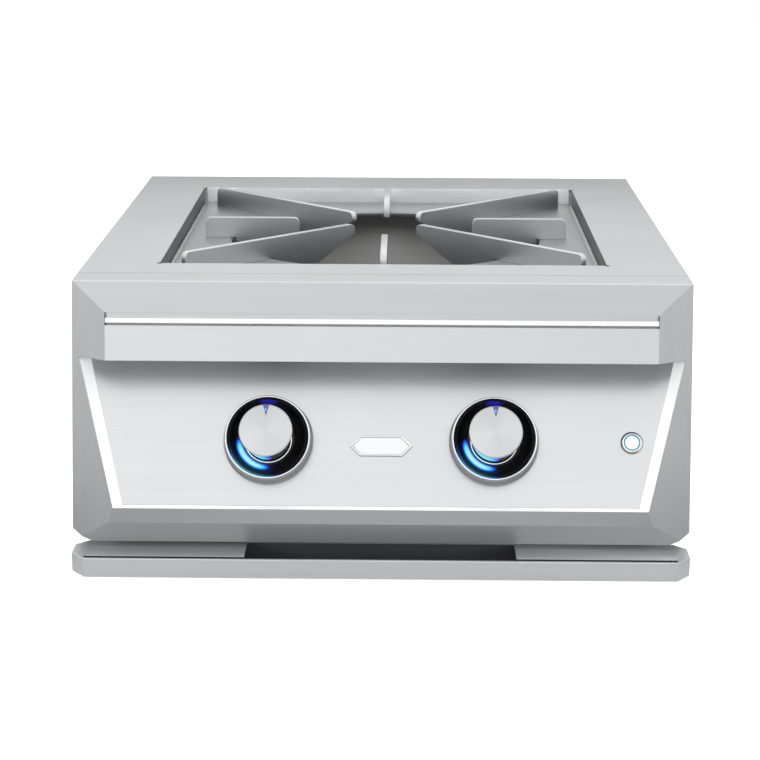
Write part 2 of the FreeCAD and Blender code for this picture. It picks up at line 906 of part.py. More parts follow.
def make_valve_body(name, side):
    """The valve's casting: a barrel along the stem, an outlet to the rear, an inlet below."""
    top = -size("valve_start")
    low = top - size("valve_length")
    bore = size("plug_radius") + size("running_gap")
    floor = -size("plug_start") - size("plug_length") - size("fit_gap")
    body = turned_piece(name, [
        (0, low), (size("valve_radius"), low), (size("valve_radius"), top),
        (bore, top), (bore, floor), (0, floor),
    ])
    outlet = sketch_on(body, "outlet", "XY_Plane", -size("outlet_depth"), lean)
    draw_circle(outlet, 0, 0, size("boss_radius"))
    pad(body, outlet, size("outlet_start") + size("outlet_length"), turned=True)
    inlet = sketch_on(body, "inlet", "XY_Plane", -size("inlet_depth"), -tilt)
    draw_circle(inlet, 0, 0, size("boss_radius"))
    pad(body, inlet, size("manifold_drop") - size("manifold_radius"), turned=True)
    clear = sketch_on(body, "clear", "XY_Plane", top)
    draw_circle(clear, 0, 0, bore)
    pocket(body, clear, top - floor)
    place_on_panel(body, side * knob_side, size("knob_rise"))
    return body


def make_orifice(name, side):
    """The brass jet on the valve's outlet, pointing into the mixer."""
    body = new_body(name)
    place(body, side * knob_side, outlet_end_y, outlet_z)
    profile = sketch_on(body, "profile", "YZ_Plane")
    hex_length = size("orifice_hex_length")
    tip = hex_length + size("orifice_tip_length")
    draw_polygon(profile, [
        (0, 0), (0, size("orifice_hex_radius")),
        (hex_length, size("orifice_hex_radius")), (hex_length, size("orifice_tip_radius")),
        (tip, size("orifice_tip_radius") / 2), (tip, 0),
    ])
    revolve(body, profile, "H_Axis")
    return body


def make_button_housing():
    bore = size("button_radius") + size("running_gap")
    high = size("button_flange_height")
    step = high / 2
    body = turned_piece("button_housing", [
        (bore, -size("button_barrel_depth")),
        (size("button_barrel_radius"), -size("button_barrel_depth")),
        (size("button_barrel_radius"), 0),
        (size("button_flange_radius"), 0),
        (size("button_flange_radius"), step),
        (size("button_flange_radius") - step, high),
        (bore, high),
    ])
    place_on_panel(body, button_side, size("knob_rise"))
    return body


def make_button_light_ring():
    low = size("button_flange_height")
    high = low + size("light_ring_height")
    outer = size("light_ring_radius")
    inner = outer - size("light_ring_width")
    body = turned_piece("button_light_ring", ring_outline(inner, outer, low, high))
    place_on_panel(body, button_side, size("knob_rise"))
    return body


def make_light_button():
    low, high = -size("button_depth"), size("button_height")
    body = turned_piece("light_button", ring_outline(0, size("button_radius"), low, high))
    place_on_panel(body, button_side, size("knob_rise"))
    return body


# Gas train.

def bent_path(corners, bend):
    """Straight runs through the corners, joined by tangent arcs of one radius."""
    edges = []
    start = corners[0]
    for before, corner, after in zip(corners, corners[1:], corners[2:]):
        along = (corner - before).normalize()
        onward = (after - corner).normalize()
        turn = along.getAngle(onward)
        reach = bend * math.tan(turn / 2)
        entry, leave = corner - along * reach, corner + onward * reach
        inward = (onward - along).normalize()
        middle = corner + inward * (bend / math.cos(turn / 2) - bend)
        edges.append(Part.LineSegment(start, entry).toShape())
        edges.append(Part.Arc(entry, middle, leave).toShape())
        start = leave
    edges.append(Part.LineSegment(start, corners[-1]).toShape())
    return Part.Wire(edges)


def bent_tube(corners, radius, wall, bend):
    """A round tube along the path, open at both ends."""
    spots = [Vector(*[measure(length).value for length in corner]) for corner in corners]
    path = bent_path(spots, bend.value)
    heading = (spots[1] - spots[0]).normalize()
    shells = []
    for reach in (radius.value, (radius - wall).value):
        rim = Part.Wire([Part.Circle(spots[0], heading, reach).toShape()])
        shells.append(path.makePipeShell([rim], True, True))
    return shells[0].cut(shells[1])


def shape_piece(name, shape):
    piece = doc.addObject("Part::Feature", name)
    piece.Label = name
    piece.Shape = shape
    return piece


def make_venturi(name, side, corners):
    """A burner's mixing tube: a wide mouth that narrows to the tube that feeds the ring."""
    mouth, wall = size("mixer_radius").value, size("mixer_wall").value
    tube, thin = size("tube_radius").value, size("tube_wall").value
    length, taper = size("mixer_length").value, size("mixer_taper").value
    outline = [
        (0, mouth - wall), (0, mouth), (length, mouth), (length + taper, tube),
        (length + taper, tube - thin), (length, mouth - wall),
    ]
    spots = [Vector(0, along, up) for along, up in outline]
    face = Part.Face(Part.makePolygon(spots + spots[:1]))
    mixer = face.revolve(Vector(0, 0, 0), Vector(0, 1, 0), 360)
    margin = size("shutter_length").value / 4
    start = size("shutter_setback").value + margin
    window = Part.makeBox(mouth, margin * 2, mouth * 4)
    window.translate(Vector(-mouth / 2, start, -mouth * 2))
    mixer = mixer.cut(window)
    mixer.translate(Vector((side * knob_side).value, mixer_y.value, outlet_z.value))
    feed = bent_tube(corners, size("tube_radius"), size("tube_wall"), size("tube_bend"))
    return shape_piece(name, mixer.fuse(feed).removeSplitter())


def make_outer_venturi():
    x = -knob_side
    start = mixer_y + size("mixer_length") + size("mixer_taper")
    return make_venturi("outer_venturi", -1, [
        (x, start, outlet_z), (x, grate_y, outlet_z), (x, grate_y, burner_bottom),
    ])


def make_inner_venturi():
    x, end = knob_side, size("inner_ring_radius")
    start = mixer_y + size("mixer_length") + size("mixer_taper")
    return make_venturi("inner_venturi", 1, [
        (x, start, outlet_z), (x, grate_y, outlet_z),
        (end, grate_y, outlet_z), (end, grate_y, burner_bottom),
    ])


def make_air_shutter(name, side):
    """A sleeve on the mixer with two windows; turning it sets the air."""
    body = new_body(name)
    place(body, side * knob_side, mixer_y + size("shutter_setback"), outlet_z)
    inner = size("mixer_radius") + size("running_gap")
    outer = inner + size("shutter_wall")
    ring = sketch_on(body, "ring", "XZ_Plane")
    draw_circle(ring, 0, 0, inner)
    draw_circle(ring, 0, 0, outer)
    pad(body, ring, size("shutter_length"), turned=True)
    window = sketch_on(body, "window", "XY_Plane")
    half = size("mixer_radius") / 2
    margin = size("shutter_length") / 4
    draw_box(window, -half, half, margin, size("shutter_length") - margin)
    pocket(body, window)
    return body


def make_gas_manifold():
    body = new_body("gas_manifold")
    place(body, 0, inlet_y, manifold_z)
    outer, wall = size("manifold_radius"), size("manifold_wall")
    half = manifold_half
    pipe = sketch_on(body, "pipe", "YZ_Plane")
    draw_circle(pipe, 0, 0, outer)
    draw_circle(pipe, 0, 0, outer - wall)
    pad(body, pipe, half * 2, both=True)
    plug = sketch_on(body, "plug", "YZ_Plane", -half)
    draw_circle(plug, 0, 0, outer)
    pad(body, plug, wall * 2)
    reducer = sketch_on(body, "reducer", "YZ_Plane", half)
    draw_circle(reducer, 0, 0, outer)
    draw_circle(reducer, 0, 0, size("supply_pipe_radius") - size("supply_pipe_wall"))
    pad(body, reducer, wall * 2, turned=True)
    return body


def fitting_y():
    """Where the supply pipe ends and its bulkhead fitting starts."""
    return rear_wall - gauge - size("inlet_thread_length")


def make_gas_inlet_pipe():
    side = supply_pipe_side
    corners = [
        (manifold_half, inlet_y, manifold_z),
        (side, inlet_y, manifold_z),
        (side, fitting_y(), manifold_z),
    ]
    radius, wall = size("supply_pipe_radius"), size("supply_pipe_wall")
    return shape_piece("gas_inlet_pipe", bent_tube(corners, radius, wall, size("supply_bend")))


def make_gas_inlet_fitting():
    """The bulkhead fitting: a collar inside, a lock nut outside and the flare thread."""
    body = new_body("gas_inlet_fitting")
    place(body, supply_pipe_side, fitting_y(), manifold_z)
    thread, length = size("inlet_thread_radius"), size("inlet_thread_length")
    bore = thread / 2
    collar, nut = thread * 1.5, thread * 1.6
    neck = length + gauge
    profile = sketch_on(body, "profile", "YZ_Plane")
    draw_polygon(profile, [
        (0, bore), (0, collar), (length - gauge, collar), (length - gauge, thread + gauge),
        (neck, thread + gauge), (neck, nut), (neck + length / 2, nut),
        (neck + length / 2, thread), (neck + length * 1.5, thread), (neck + length * 1.5, bore),
    ])
    revolve(body, profile, "H_Axis")
    return body


def make_power_gland():
    """The bushing where the low-voltage lead for the lights comes in."""
    body = new_body("power_gland")
    place(body, gland_side, rear_wall - gauge, manifold_z)
    bore, neck = size("gland_bore_radius"), size("gland_radius")
    flange, length = size("gland_flange_radius"), size("gland_length")
    profile = sketch_on(body, "profile", "YZ_Plane")
    lip = gauge * 2
    draw_polygon(profile, [
        (gauge - length / 2, bore), (gauge - length / 2, neck), (gauge, neck), (gauge, flange),
        (gauge + lip, flange), (gauge + length / 2, neck), (gauge + length / 2, bore),
    ])
    revolve(body, profile, "H_Axis")
    return body


# Burner.

def make_ring_burner(name, radius, half_band, feed_x, port_count):
    """A hollow cast ring with gas ports round its top, fed from below."""
    inner, outer = radius - half_band, radius + half_band
    break_edge = gauge * 2
    body = turned_piece(name, [
        (inner, 0), (outer, 0),
        (outer, size("burner_height") - break_edge), (outer - break_edge, size("burner_height")),
        (inner + break_edge, size("burner_height")), (inner, size("burner_height") - break_edge),
    ])
    place(body, 0, grate_y, burner_bottom)
    wall = size("burner_wall")
    channel = sketch_on(body, "channel", "XZ_Plane")
    draw_box(channel, inner + wall, outer - wall, wall, size("burner_height") - wall)
    hollow_round(body, channel)
    feed = sketch_on(body, "feed", "XY_Plane")
    draw_circle(feed, feed_x, 0, size("tube_radius") - size("tube_wall"))
    pocket(body, feed, wall, turned=True)
    ports = sketch_on(body, "ports", "XY_Plane", size("burner_height"))
    draw_circle(ports, radius, 0, size("port_radius"))
    first = pocket(body, ports, size("port_depth"))
    pattern = body.newObject("PartDesign::PolarPattern", f"{name}_ports_round")
    pattern.Originals = [first]
    pattern.Axis = (origin_feature(body, "Z_Axis"), [""])
    pattern.Angle = 360
    pattern.Occurrences = int(port_count.value)
    body.Tip = pattern
    return body


def make_burner_bracket():
    body = new_body("burner_bracket")
    profile = sketch_on(body, "profile", "YZ_Plane")
    near = grate_y + size("bracket_behind_centre")
    far = near + size("bracket_width")
    low = burner_bottom - size("bracket_depth")
    path = [(far, low), (far, burner_bottom), (near, burner_bottom), (near, low)]
    draw_polygon(profile, folded_outline(path, gauge))
    pad(body, profile, firebox_half * 2, both=True)
    return body


def make_igniter_electrode():
    top = size("ceramic_height")
    tip = top + size("electrode_height")
    body = turned_piece("igniter_electrode", [
        (0, 0), (size("ceramic_radius"), 0), (size("ceramic_radius"), top),
        (size("electrode_radius"), top), (size("electrode_radius"), tip), (0, tip),
    ])
    middle = size("bracket_behind_centre") + size("bracket_width") / 2
    place(body, size("electrode_side"), grate_y + middle, burner_bottom)
    return body


# Firebox.

def make_firebox_end(name, wall_y, ledge_y, venturi_holes):
    """The front or rear liner wall, with the ledge that the grate rests on."""
    body = new_body(name)
    half = firebox_half + liner
    wall = sketch_on(body, "wall", "XZ_Plane", -wall_y)
    draw_box(wall, -half, half, firebox_bottom, below(gauge))
    pad(body, wall, liner, turned=True)
    if venturi_holes:
        holes = sketch_on(body, "holes", "XZ_Plane", -wall_y)
        for side in (-1, 1):
            reach = size("tube_radius") + size("venturi_hole_gap")
            draw_circle(holes, side * knob_side, outlet_z, reach)
        pocket(body, holes)
    ledge = sketch_on(body, "ledge", "XY_Plane", ledge_top)
    inner = firebox_half - size("ledge_width")
    draw_box(ledge, -inner, inner, ledge_y, ledge_y + size("ledge_width"))
    pad(body, ledge, liner, turned=True)
    return body


def make_firebox_side(name, side):
    body = new_body(name)
    wall = sketch_on(body, "wall", "YZ_Plane", side * (firebox_half + liner / 2))
    draw_box(wall, firebox_front, firebox_rear, firebox_bottom, below(gauge))
    pad(body, wall, liner, both=True)
    ledge = sketch_on(body, "ledge", "XY_Plane", ledge_top)
    inner = firebox_half - size("ledge_width")
    draw_box(ledge, side * inner, side * firebox_half, firebox_front, firebox_rear)
    pad(body, ledge, liner, turned=True)
    return body


def make_firebox_floor():
    body = new_body("firebox_floor")
    plate = sketch_on(body, "plate", "XY_Plane", firebox_bottom)
    half = firebox_half + liner
    draw_box(plate, -half, half, firebox_front - liner, firebox_rear + liner)
    pad(body, plate, liner, turned=True)
    hole = sketch_on(body, "hole", "XY_Plane", firebox_bottom)
    reach = size("drip_hole_width") / 2
    draw_box(hole, -reach, reach, grate_y - reach, grate_y + reach)
    pocket(body, hole)
    return body


# Grate.

def make_grate_plate():
    body = new_body("grate_plate")
    gap = size("grate_gap")
    plate = sketch_on(body, "plate", "XY_Plane", plate_bottom)
    half = opening_half - gap
    draw_box(plate, -half, half, opening_front + gap, opening_rear - gap)
    pad(body, plate, size("grate_thickness"))
    lip = sketch_on(body, "lip", "XY_Plane", plate_top)
    draw_circle(lip, 0, grate_y, size("grate_hole_radius") + gauge)
    pad(body, lip, size("lip_depth"), turned=True)
    hole = sketch_on(body, "hole", "XY_Plane", plate_top)
    draw_circle(hole, 0, grate_y, size("grate_hole_radius") - gauge)
    pocket(body, hole)
    return body


def make_diagonal_fins():
    """Four upright plates that point at the hole's centre and carry the pan."""
    body = new_body("diagonal_fins")
    turning = Rotation(Vector(0, 0, 1), 45)
    body.Placement = Placement(Vector(0, grate_y.value, 0), turning)
    body.setExpression("Placement.Base.y", grate_y.formula)
    top = deck_top + size("fin_rise")
    inside = size("grate_hole_radius") - size("fin_hole_gap")
    outside = (least(opening_half, opening_half_depth) - size("diagonal_end_gap")) * math.sqrt(2)
    profile = sketch_on(body, "profile", "XZ_Plane")
    easing = size("fin_corner_radius")
    draw_polygon(profile, [
        (outside, plate_top),
        *eased_corner(outside, top, -1, -1, easing),
        *eased_corner(size("diagonal_inner"), top, 1, -1, easing)[::-1],
        (size("diagonal_inner"), top - size("diagonal_nose")),
        (size("diagonal_belly_start"), top - size("diagonal_belly")),
        (inside, top - size("diagonal_belly")),
        (inside, plate_top),
    ])
    first = pad(body, profile, size("fin_thickness"), both=True)
    pattern = body.newObject("PartDesign::PolarPattern", "diagonal_fins_round")
    pattern.Originals = [first]
    pattern.Axis = (origin_feature(body, "Z_Axis"), [""])
    pattern.Angle = 360
    pattern.Occurrences = 4
    body.Tip = pattern
    return body


def make_cross_fins():
    """Two side tabs that hook over the hole's edge, and a front and a rear rib."""
    body = new_body("cross_fins")
    place(body, 0, grate_y, 0)
    top = deck_top + size("fin_rise")
    inside = size("grate_hole_radius") - size("fin_hole_gap")
    easing = size("fin_corner_radius")
    tab_outer = opening_half - size("tab_end_gap")
    rib_outer = opening_half_depth - size("rib_end_gap")
    tabs = sketch_on(body, "tabs", "XZ_Plane")
    ribs = sketch_on(body, "ribs", "YZ_Plane")
    for side in (-1, 1):
        draw_polygon(tabs, [
            (side * tab_outer, plate_top),
            *eased_corner(side * tab_outer, top, -side, -1, easing),
            *eased_corner(side * size("tab_inner"), top, side, -1, easing)[::-1],
            (side * size("tab_inner"), plate_top - size("tab_hook")),
            (side * inside, plate_top - size("tab_hook")),
            (side * inside, plate_top),
        ])
        draw_polygon(ribs, [
            (side * rib_outer, plate_top),
            *eased_corner(side * rib_outer, top, -side, -1, easing),
            *eased_corner(side * size("rib_inner"), top, side, -1, easing)[::-1],
            (side * size("rib_inner"), top - size("rib_nose")),
            (side * inside, plate_top - size("tab_hook")),
            (side * inside, plate_top),
        ])
    pad(body, tabs, size("fin_thickness"), both=True)
    pad(body, ribs, size("fin_thickness"), both=True)
    return body


# Body shell.

def screw_places():
    first = behind(size("screw_first_behind"))
    return [first + size("screw_pitch") * index for index in range(int(size("screw_count").value))]


def screw_z():
    return rail_top + size("rail_height") / 2


def make_side_panel(name, side):
    """A flanged side of the box: a lip under the deck, a wide flange to stand on."""
    body = new_body(name)
    profile = sketch_on(body, "profile", "XZ_Plane", -seam)
    path = [
        (side * (side_wall - size("base_flange")), 0),
        (side * side_wall, 0),
        (side * side_wall, below(gauge)),
        (side * (side_wall - size("side_top_flange")), below(gauge)),
    ]
    draw_polygon(profile, folded_outline(path, side * gauge))
    pad(body, profile, rear_wall - seam, turned=True)
    notch = sketch_on(body, "notch", "YZ_Plane")
    low = below(size("seam_hem")) - size("fit_gap")
    draw_box(notch, seam - gauge, seam + gauge + size("fit_gap"), low, deck_top)
    pocket(body, notch)
    holes = sketch_on(body, "holes", "YZ_Plane", side * (side_wall - gauge * 2))
    for place_y in screw_places():
        draw_circle(holes, place_y, screw_z(), size("screw_radius") + size("running_gap"))
    for across in (-1, 1):
        for level in (0, 1):
            place_y = grate_y + across * size("fixing_spacing_depth") / 2
            place_z = below(size("fixing_drop")) - level * size("fixing_spacing_height")
            draw_circle(holes, place_y, place_z, size("fixing_hole_radius"))
    pocket(body, holes, gauge * 3, turned=side > 0)
    return body


def make_rear_panel():
    body = new_body("rear_panel")
    plate = sketch_on(body, "plate", "XZ_Plane", -rear_wall)
    half = side_wall - gauge
    draw_box(plate, -half, half, gauge, below(gauge * 2))
    pad(body, plate, gauge)
    vents = sketch_on(body, "vents", "XZ_Plane", -rear_wall)
    count = int(size("vent_count").value)
    for index in range(count):
        left = size("vent_pitch") * (index - (count - 1) / 2) - size("vent_width") / 2
        low = below(size("vent_drop"))
        draw_box(vents, left, left + size("vent_width"), low, low + size("vent_height"))
    draw_circle(vents, supply_pipe_side, manifold_z,
                size("inlet_thread_radius") + gauge + size("running_gap"))
    draw_circle(vents, gland_side, manifold_z, size("gland_radius") + size("running_gap"))
    pocket(body, vents)
    return body


def make_tray_rail(name, side):
    """An angle inside the side panel that the drip tray slides on."""
    body = new_body(name)
    wall = side_wall - gauge
    start = behind(size("rail_start_behind"))
    profile = sketch_on(body, "profile", "XZ_Plane", -start)
    path = [
        (side * (wall - size("rail_ledge")), rail_bottom),
        (side * wall, rail_bottom),
        (side * wall, rail_top + size("rail_height")),
    ]
    draw_polygon(profile, folded_outline(path, side * gauge))
    pad(body, profile, rear_wall - size("rail_end_gap") - start, turned=True)
    holes = sketch_on(body, "holes", "YZ_Plane", side * (wall - gauge * 2))
    for place_y in screw_places():
        draw_circle(holes, place_y, screw_z(), size("screw_radius") + size("running_gap"))
    pocket(body, holes, gauge * 3, turned=side > 0)
    return body


def make_rail_screws():
    """The pan-head screws that hold both rails, as separate solids."""
    body = new_body("rail_screws")
    for side, label in ((-1, "left"), (1, "right")):
        heads = sketch_on(body, f"{label}_heads", "YZ_Plane", side * side_wall)
        shanks = sketch_on(body, f"{label}_shanks", "YZ_Plane", side * side_wall)
        for place_y in screw_places():
            draw_circle(heads, place_y, screw_z(), size("screw_head_radius"))
            draw_circle(shanks, place_y, screw_z(), size("screw_radius"))
        pad(body, heads, size("screw_head_height"), turned=side < 0)
        pad(body, shanks, size("screw_length"), turned=side > 0)
    return body


# Drip tray.

def make_tray_pan():
    body = new_body("tray_pan")
    half, wall = tray_half, size("tray_wall")
    rear = rear_wall - size("tray_end_gap")
    outer = sketch_on(body, "outer", "XY_Plane", tray_bottom)
    draw_box(outer, -half, half, handle_rear, rear)
    pad(body, outer, handle_top - gauge - tray_bottom)
    inner = sketch_on(body, "inner", "XY_Plane", handle_top - gauge)
    draw_box(inner, wall - half, half - wall, handle_rear + wall, rear - wall)
    pocket(body, inner, handle_top - gauge - tray_bottom - wall)
    return body


def handle_outline(inset):
    """The handle's plan, its four corners cut, all moved in by the inset."""
    end = half_width - inset
    nose = size("handle_end_chamfer")
    tail = size("handle_rear_chamfer")
    near, far = handle_front + inset, handle_rear - inset
    cut = inset / 2
    right = [
        (end - nose + cut, near), (end, near + size("handle_end_depth") - cut),
        (end, far - tail + cut), (end - tail + cut, far),
    ]
    return right + [(-x, y) for x, y in right[::-1]]


def make_tray_handle():
    """The full-width pull: a hollow bar with cut corners and a finger opening in its top."""
    body = new_body("tray_handle")
    cover = sketch_on(body, "cover", "XY_Plane", handle_bottom)
    draw_polygon(cover, handle_outline(measure(0)))
    pad(body, cover, size("handle_height"))
    hollow = sketch_on(body, "hollow", "XY_Plane", handle_bottom + gauge)
    draw_polygon(hollow, handle_outline(gauge))
    pocket(body, hollow, size("handle_height") - gauge * 2, turned=True)
    finger = sketch_on(body, "finger", "XY_Plane", handle_top)
    half, margin = size("finger_width") / 2, size("finger_margin")
    draw_box(finger, -half, half, handle_front + margin, handle_rear - margin / 2)
    pocket(body, finger, gauge * 2)
    slot = sketch_on(body, "slot", "XY_Plane", handle_top)
    near = handle_front + size("lip_slot_behind")
    reach = half_width - size("handle_end_chamfer")
    draw_box(slot, -reach, reach, near, near + size("lip_slot_width"))
    pocket(body, slot, gauge * 2)
    return body


# Electrics.

def make_module(name, side):
    """A sealed box on the firebox's front wall."""
    body = new_body(name)
    width, height = size("module_width") / 2, size("module_height")
    middle = side * (firebox_half - width - size("module_inset"))
    top = below(size("module_drop"))
    face = sketch_on(body, "face", "XZ_Plane", -(firebox_front - liner))
    draw_box(face, middle - width, middle + width, top - height, top)
    pad(body, face, size("module_depth"))
    return body


def make_everything():
    return [
        make_top_deck(),
        make_front_brow(),
        make_brow_bar(),
        make_end_trim("left_end_trim", -1),
        make_end_trim("right_end_trim", 1),
        make_cheek("left_cheek", -1),
        make_cheek("right_cheek", 1),
        make_front_sill(),
        make_control_panel(),
        make_badge_plate(),
        make_bezel("left_knob_bezel", -1),
        make_bezel("right_knob_bezel", 1),
        make_halo_lens("left_halo_lens", -1),
        make_halo_lens("right_halo_lens", 1),
        make_knob("left_knob", -1),
        make_knob("right_knob", 1),
        make_knob_cap("left_knob_cap", -1),
        make_knob_cap("right_knob_cap", 1),
        make_valve_stem("left_valve_stem", -1),
        make_valve_stem("right_valve_stem", 1),
        make_valve_plug("left_valve_plug", -1),
        make_valve_plug("right_valve_plug", 1),
        make_valve_body("left_valve_body", -1),
        make_valve_body("right_valve_body", 1),
        make_orifice("left_orifice", -1),
        make_orifice("right_orifice", 1),
        make_button_housing(),
        make_button_light_ring(),
        make_light_button(),
        make_outer_venturi(),
        make_inner_venturi(),
        make_air_shutter("outer_air_shutter", -1),
        make_air_shutter("inner_air_shutter", 1),
        make_gas_manifold(),
        make_gas_inlet_pipe(),
        make_gas_inlet_fitting(),
        make_power_gland(),
        make_ring_burner(
            "outer_ring_burner", size("outer_ring_radius"), size("outer_ring_half_width"),
            -knob_side, size("outer_port_count")),
        make_ring_burner(
            "inner_ring_burner", size("inner_ring_radius"), size("inner_ring_half_width"),
            size("inner_ring_radius"), size("inner_port_count")),
        make_burner_bracket(),
        make_igniter_electrode(),
        make_firebox_end("firebox_front_wall", firebox_front - liner, firebox_front, True),
        make_firebox_end("firebox_rear_wall", firebox_rear, firebox_rear - size("ledge_width"), False),
        make_firebox_side("firebox_left_wall", -1),
        make_firebox_side("firebox_right_wall", 1),
        make_firebox_floor(),
        make_grate_plate(),
        make_diagonal_fins(),
        make_cross_fins(),
        make_side_panel("left_side_panel", -1),
        make_side_panel("right_side_panel", 1),
        make_rear_panel(),
        make_tray_rail("left_tray_rail", -1),
        make_tray_rail("right_tray_rail", 1),
        make_rail_screws(),
        make_tray_pan(),
        make_tray_handle(),
        make_module("ignition_module", -1),
        make_module("light_transformer", 1),
    ]


def check_document():
    """Stop if any object failed to recompute."""
    failed = [item.Name for item in doc.Objects if {"Invalid", "Error"} & set(item.State)]
    if failed:
        raise RuntimeError(f"these objects failed: {failed}")


def write_pieces(pieces):
    os.makedirs("parts", exist_ok=True)
    for piece in pieces:
        shape = piece.Shape
        if shape.isNull() or not shape.isValid() or not shape.Solids:
            raise RuntimeError(f"{piece.Label} has no valid solid")
    for piece in pieces:
        piece.Shape.exportStep(f"parts/{piece.Label}.step")
        print(f"{piece.Label}: {len(piece.Shape.Solids)} solids, {piece.Shape.Volume / 1000:.2f} cm3")


pieces = make_everything()
doc.recompute()
check_document()
write_pieces(pieces)
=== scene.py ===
"""The looks of a built-in side burner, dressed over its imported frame.

Brushed stainless sheet with eased edges, polished trims, turned knobs with a lit halo,
a lift-off grate of thick plate, and the cast, drawn and plated pieces inside the box.
"""

import json
import logging
import math
from abc import ABC, abstractmethod
from dataclasses import dataclass
from enum import Enum
from typing import Any, Callable, Iterable, Optional, Union

import bmesh
import bpy
import numpy as np
from mathutils import Matrix, Vector


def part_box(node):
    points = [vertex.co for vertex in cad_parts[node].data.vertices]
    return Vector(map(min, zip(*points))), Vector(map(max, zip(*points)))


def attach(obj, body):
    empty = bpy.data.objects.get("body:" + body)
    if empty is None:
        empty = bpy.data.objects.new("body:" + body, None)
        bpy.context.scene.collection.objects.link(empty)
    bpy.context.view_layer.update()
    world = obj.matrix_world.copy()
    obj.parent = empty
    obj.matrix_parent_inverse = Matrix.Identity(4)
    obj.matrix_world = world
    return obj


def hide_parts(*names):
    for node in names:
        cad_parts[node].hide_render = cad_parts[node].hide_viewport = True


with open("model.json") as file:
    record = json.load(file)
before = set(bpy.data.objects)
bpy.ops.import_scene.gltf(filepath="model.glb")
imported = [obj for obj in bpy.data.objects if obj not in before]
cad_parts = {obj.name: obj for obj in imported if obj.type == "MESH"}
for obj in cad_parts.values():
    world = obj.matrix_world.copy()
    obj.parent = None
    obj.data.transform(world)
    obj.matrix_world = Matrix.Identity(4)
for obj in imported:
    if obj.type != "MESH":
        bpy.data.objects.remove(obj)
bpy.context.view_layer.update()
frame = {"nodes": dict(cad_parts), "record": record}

MM = 0.001
log = logging.getLogger("side_burner")

Material = bpy.types.Material
Mesh = bpy.types.Mesh
Node = bpy.types.Node
Piece = bpy.types.Object
Socket = bpy.types.NodeSocket
Source = Union[Node, Socket]
Tree = bpy.types.NodeTree

Colour = tuple[float, float, float, float]
Point = tuple[float, float, float]
Pair = tuple[float, float]
Inside = Callable[[Vector], bool]
Roll = tuple[float, Inside]
Zone = Callable[[Vector, Vector], bool]

# A mix node's sockets.
FACTOR = 0
LEVEL_A, LEVEL_B = 2, 3
COLOUR_A, COLOUR_B, COLOUR_OUT = 6, 7, 2

WHITE: Colour = (1.0, 1.0, 1.0, 1.0)

# A face looks along an axis where its normal's part passes this.
FACING = 0.9
# How close a corner is to a fold's line, and to the top, to belong to it, in metres.
ON_LINE, ON_TOP = 0.6 * MM, 0.2 * MM
# How close two corners are to be one, in a CAD node and in a new surface, in metres.
NODE_MERGE, SURFACE_MERGE = 2e-6, 1e-7
# Triangles that lie this flat to one another become one face.
FLAT_DEG = 0.4
# Facets in a rolled fold.
ROLL_FACETS = 4


# Nodes and colours


def linear(code: str) -> Colour:
    """Turn an sRGB hex colour into a linear one.

    Args:
        code: Six hex digits.

    Returns:
        Red, green, blue and an alpha of 1, linear.
    """
    parts = [int(code[i : i + 2], 16) / 255 for i in (0, 2, 4)]
    red, green, blue = (c / 12.92 if c <= 0.04045 else ((c + 0.055) / 1.055) ** 2.4 for c in parts)
    return red, green, blue, 1.0


def add(
    tree: Tree,
    kind: str,
    settings: Optional[dict[Any, Any]] = None,
    links: Optional[dict[Any, Source]] = None,
) -> Node:
    """Add one node with its settings and links.

    Args:
        tree: The tree that gets the node.
        kind: The node's type, without the "ShaderNode" that all share.
        settings: Attribute or input names, with their values.
        links: Input names, with what feeds them: a socket, or a node for its first output.

    Returns:
        The new node.
    """
    node = tree.nodes.new("ShaderNode" + kind)
    for key, value in (settings or {}).items():
        if isinstance(key, str) and hasattr(node, key):
            setattr(node, key, value)
        else:
            node.inputs[key].default_value = value
    for key, source in (links or {}).items():
        tree.links.new(source.outputs[0] if isinstance(source, Node) else source, node.inputs[key])
    return node


@dataclass(frozen=True)
class Step:
    """A smooth step from one level to another as a value grows.

    Attributes:
        start: The value where the step begins.
        end: The value where it ends.
        low: The level before it.
        high: The level after it.
    """

    start: float
    end: float
    low: float = 0.0
    high: float = 1.0

    def settings(self) -> dict[str, Any]:
        """The step, as the settings of a range node."""
        return {
            "interpolation_type": "SMOOTHSTEP",
            "From Min": self.start,
            "From Max": self.end,
            "To Min": self.low,
            "To Max": self.high,
        }


@dataclass(frozen=True)
class Seat:
    """A place on the control panel with the panel's own axes.

    Attributes:
        x: Distance to the right of the middle, in metres.
        y: Depth in the shared frame, in metres.
        z: Height in the shared frame, in metres.
        lean: How far the panel leans back, in degrees.
    """

    x: float
    y: float
    z: float
    lean: float = 29.0

    def turn(self) -> float:
        """The panel's turn about X, in radians."""
        return math.radians(90 - self.lean)

    def matrix(self) -> Matrix:
        """Local X to the right, Y up along the panel and Z out of its face."""
        return Matrix.Translation((self.x, self.y, self.z)) @ Matrix.Rotation(self.turn(), 4, "X")

    def local(self, tree: Tree, place: Socket) -> Node:
        """Bring the surface point into the seat's own axes.

        Args:
            tree: The material's tree.
            place: The surface point in the shared frame.

        Returns:
            The node that gives the point.
        """
        spot = {"Location": (self.x, self.y, self.z), "Rotation": (self.turn(), 0.0, 0.0)}
        return add(tree, "Mapping", {"vector_type": "TEXTURE", **spot}, {"Vector": place})


# Finishes


@dataclass(frozen=True)
class Surface:
    """A material in the making.

    Attributes:
        tree: Its node tree.
        shader: Its surface shader.
        place: The surface point in the shared frame.
    """

    tree: Tree
    shader: Node
    place: Socket


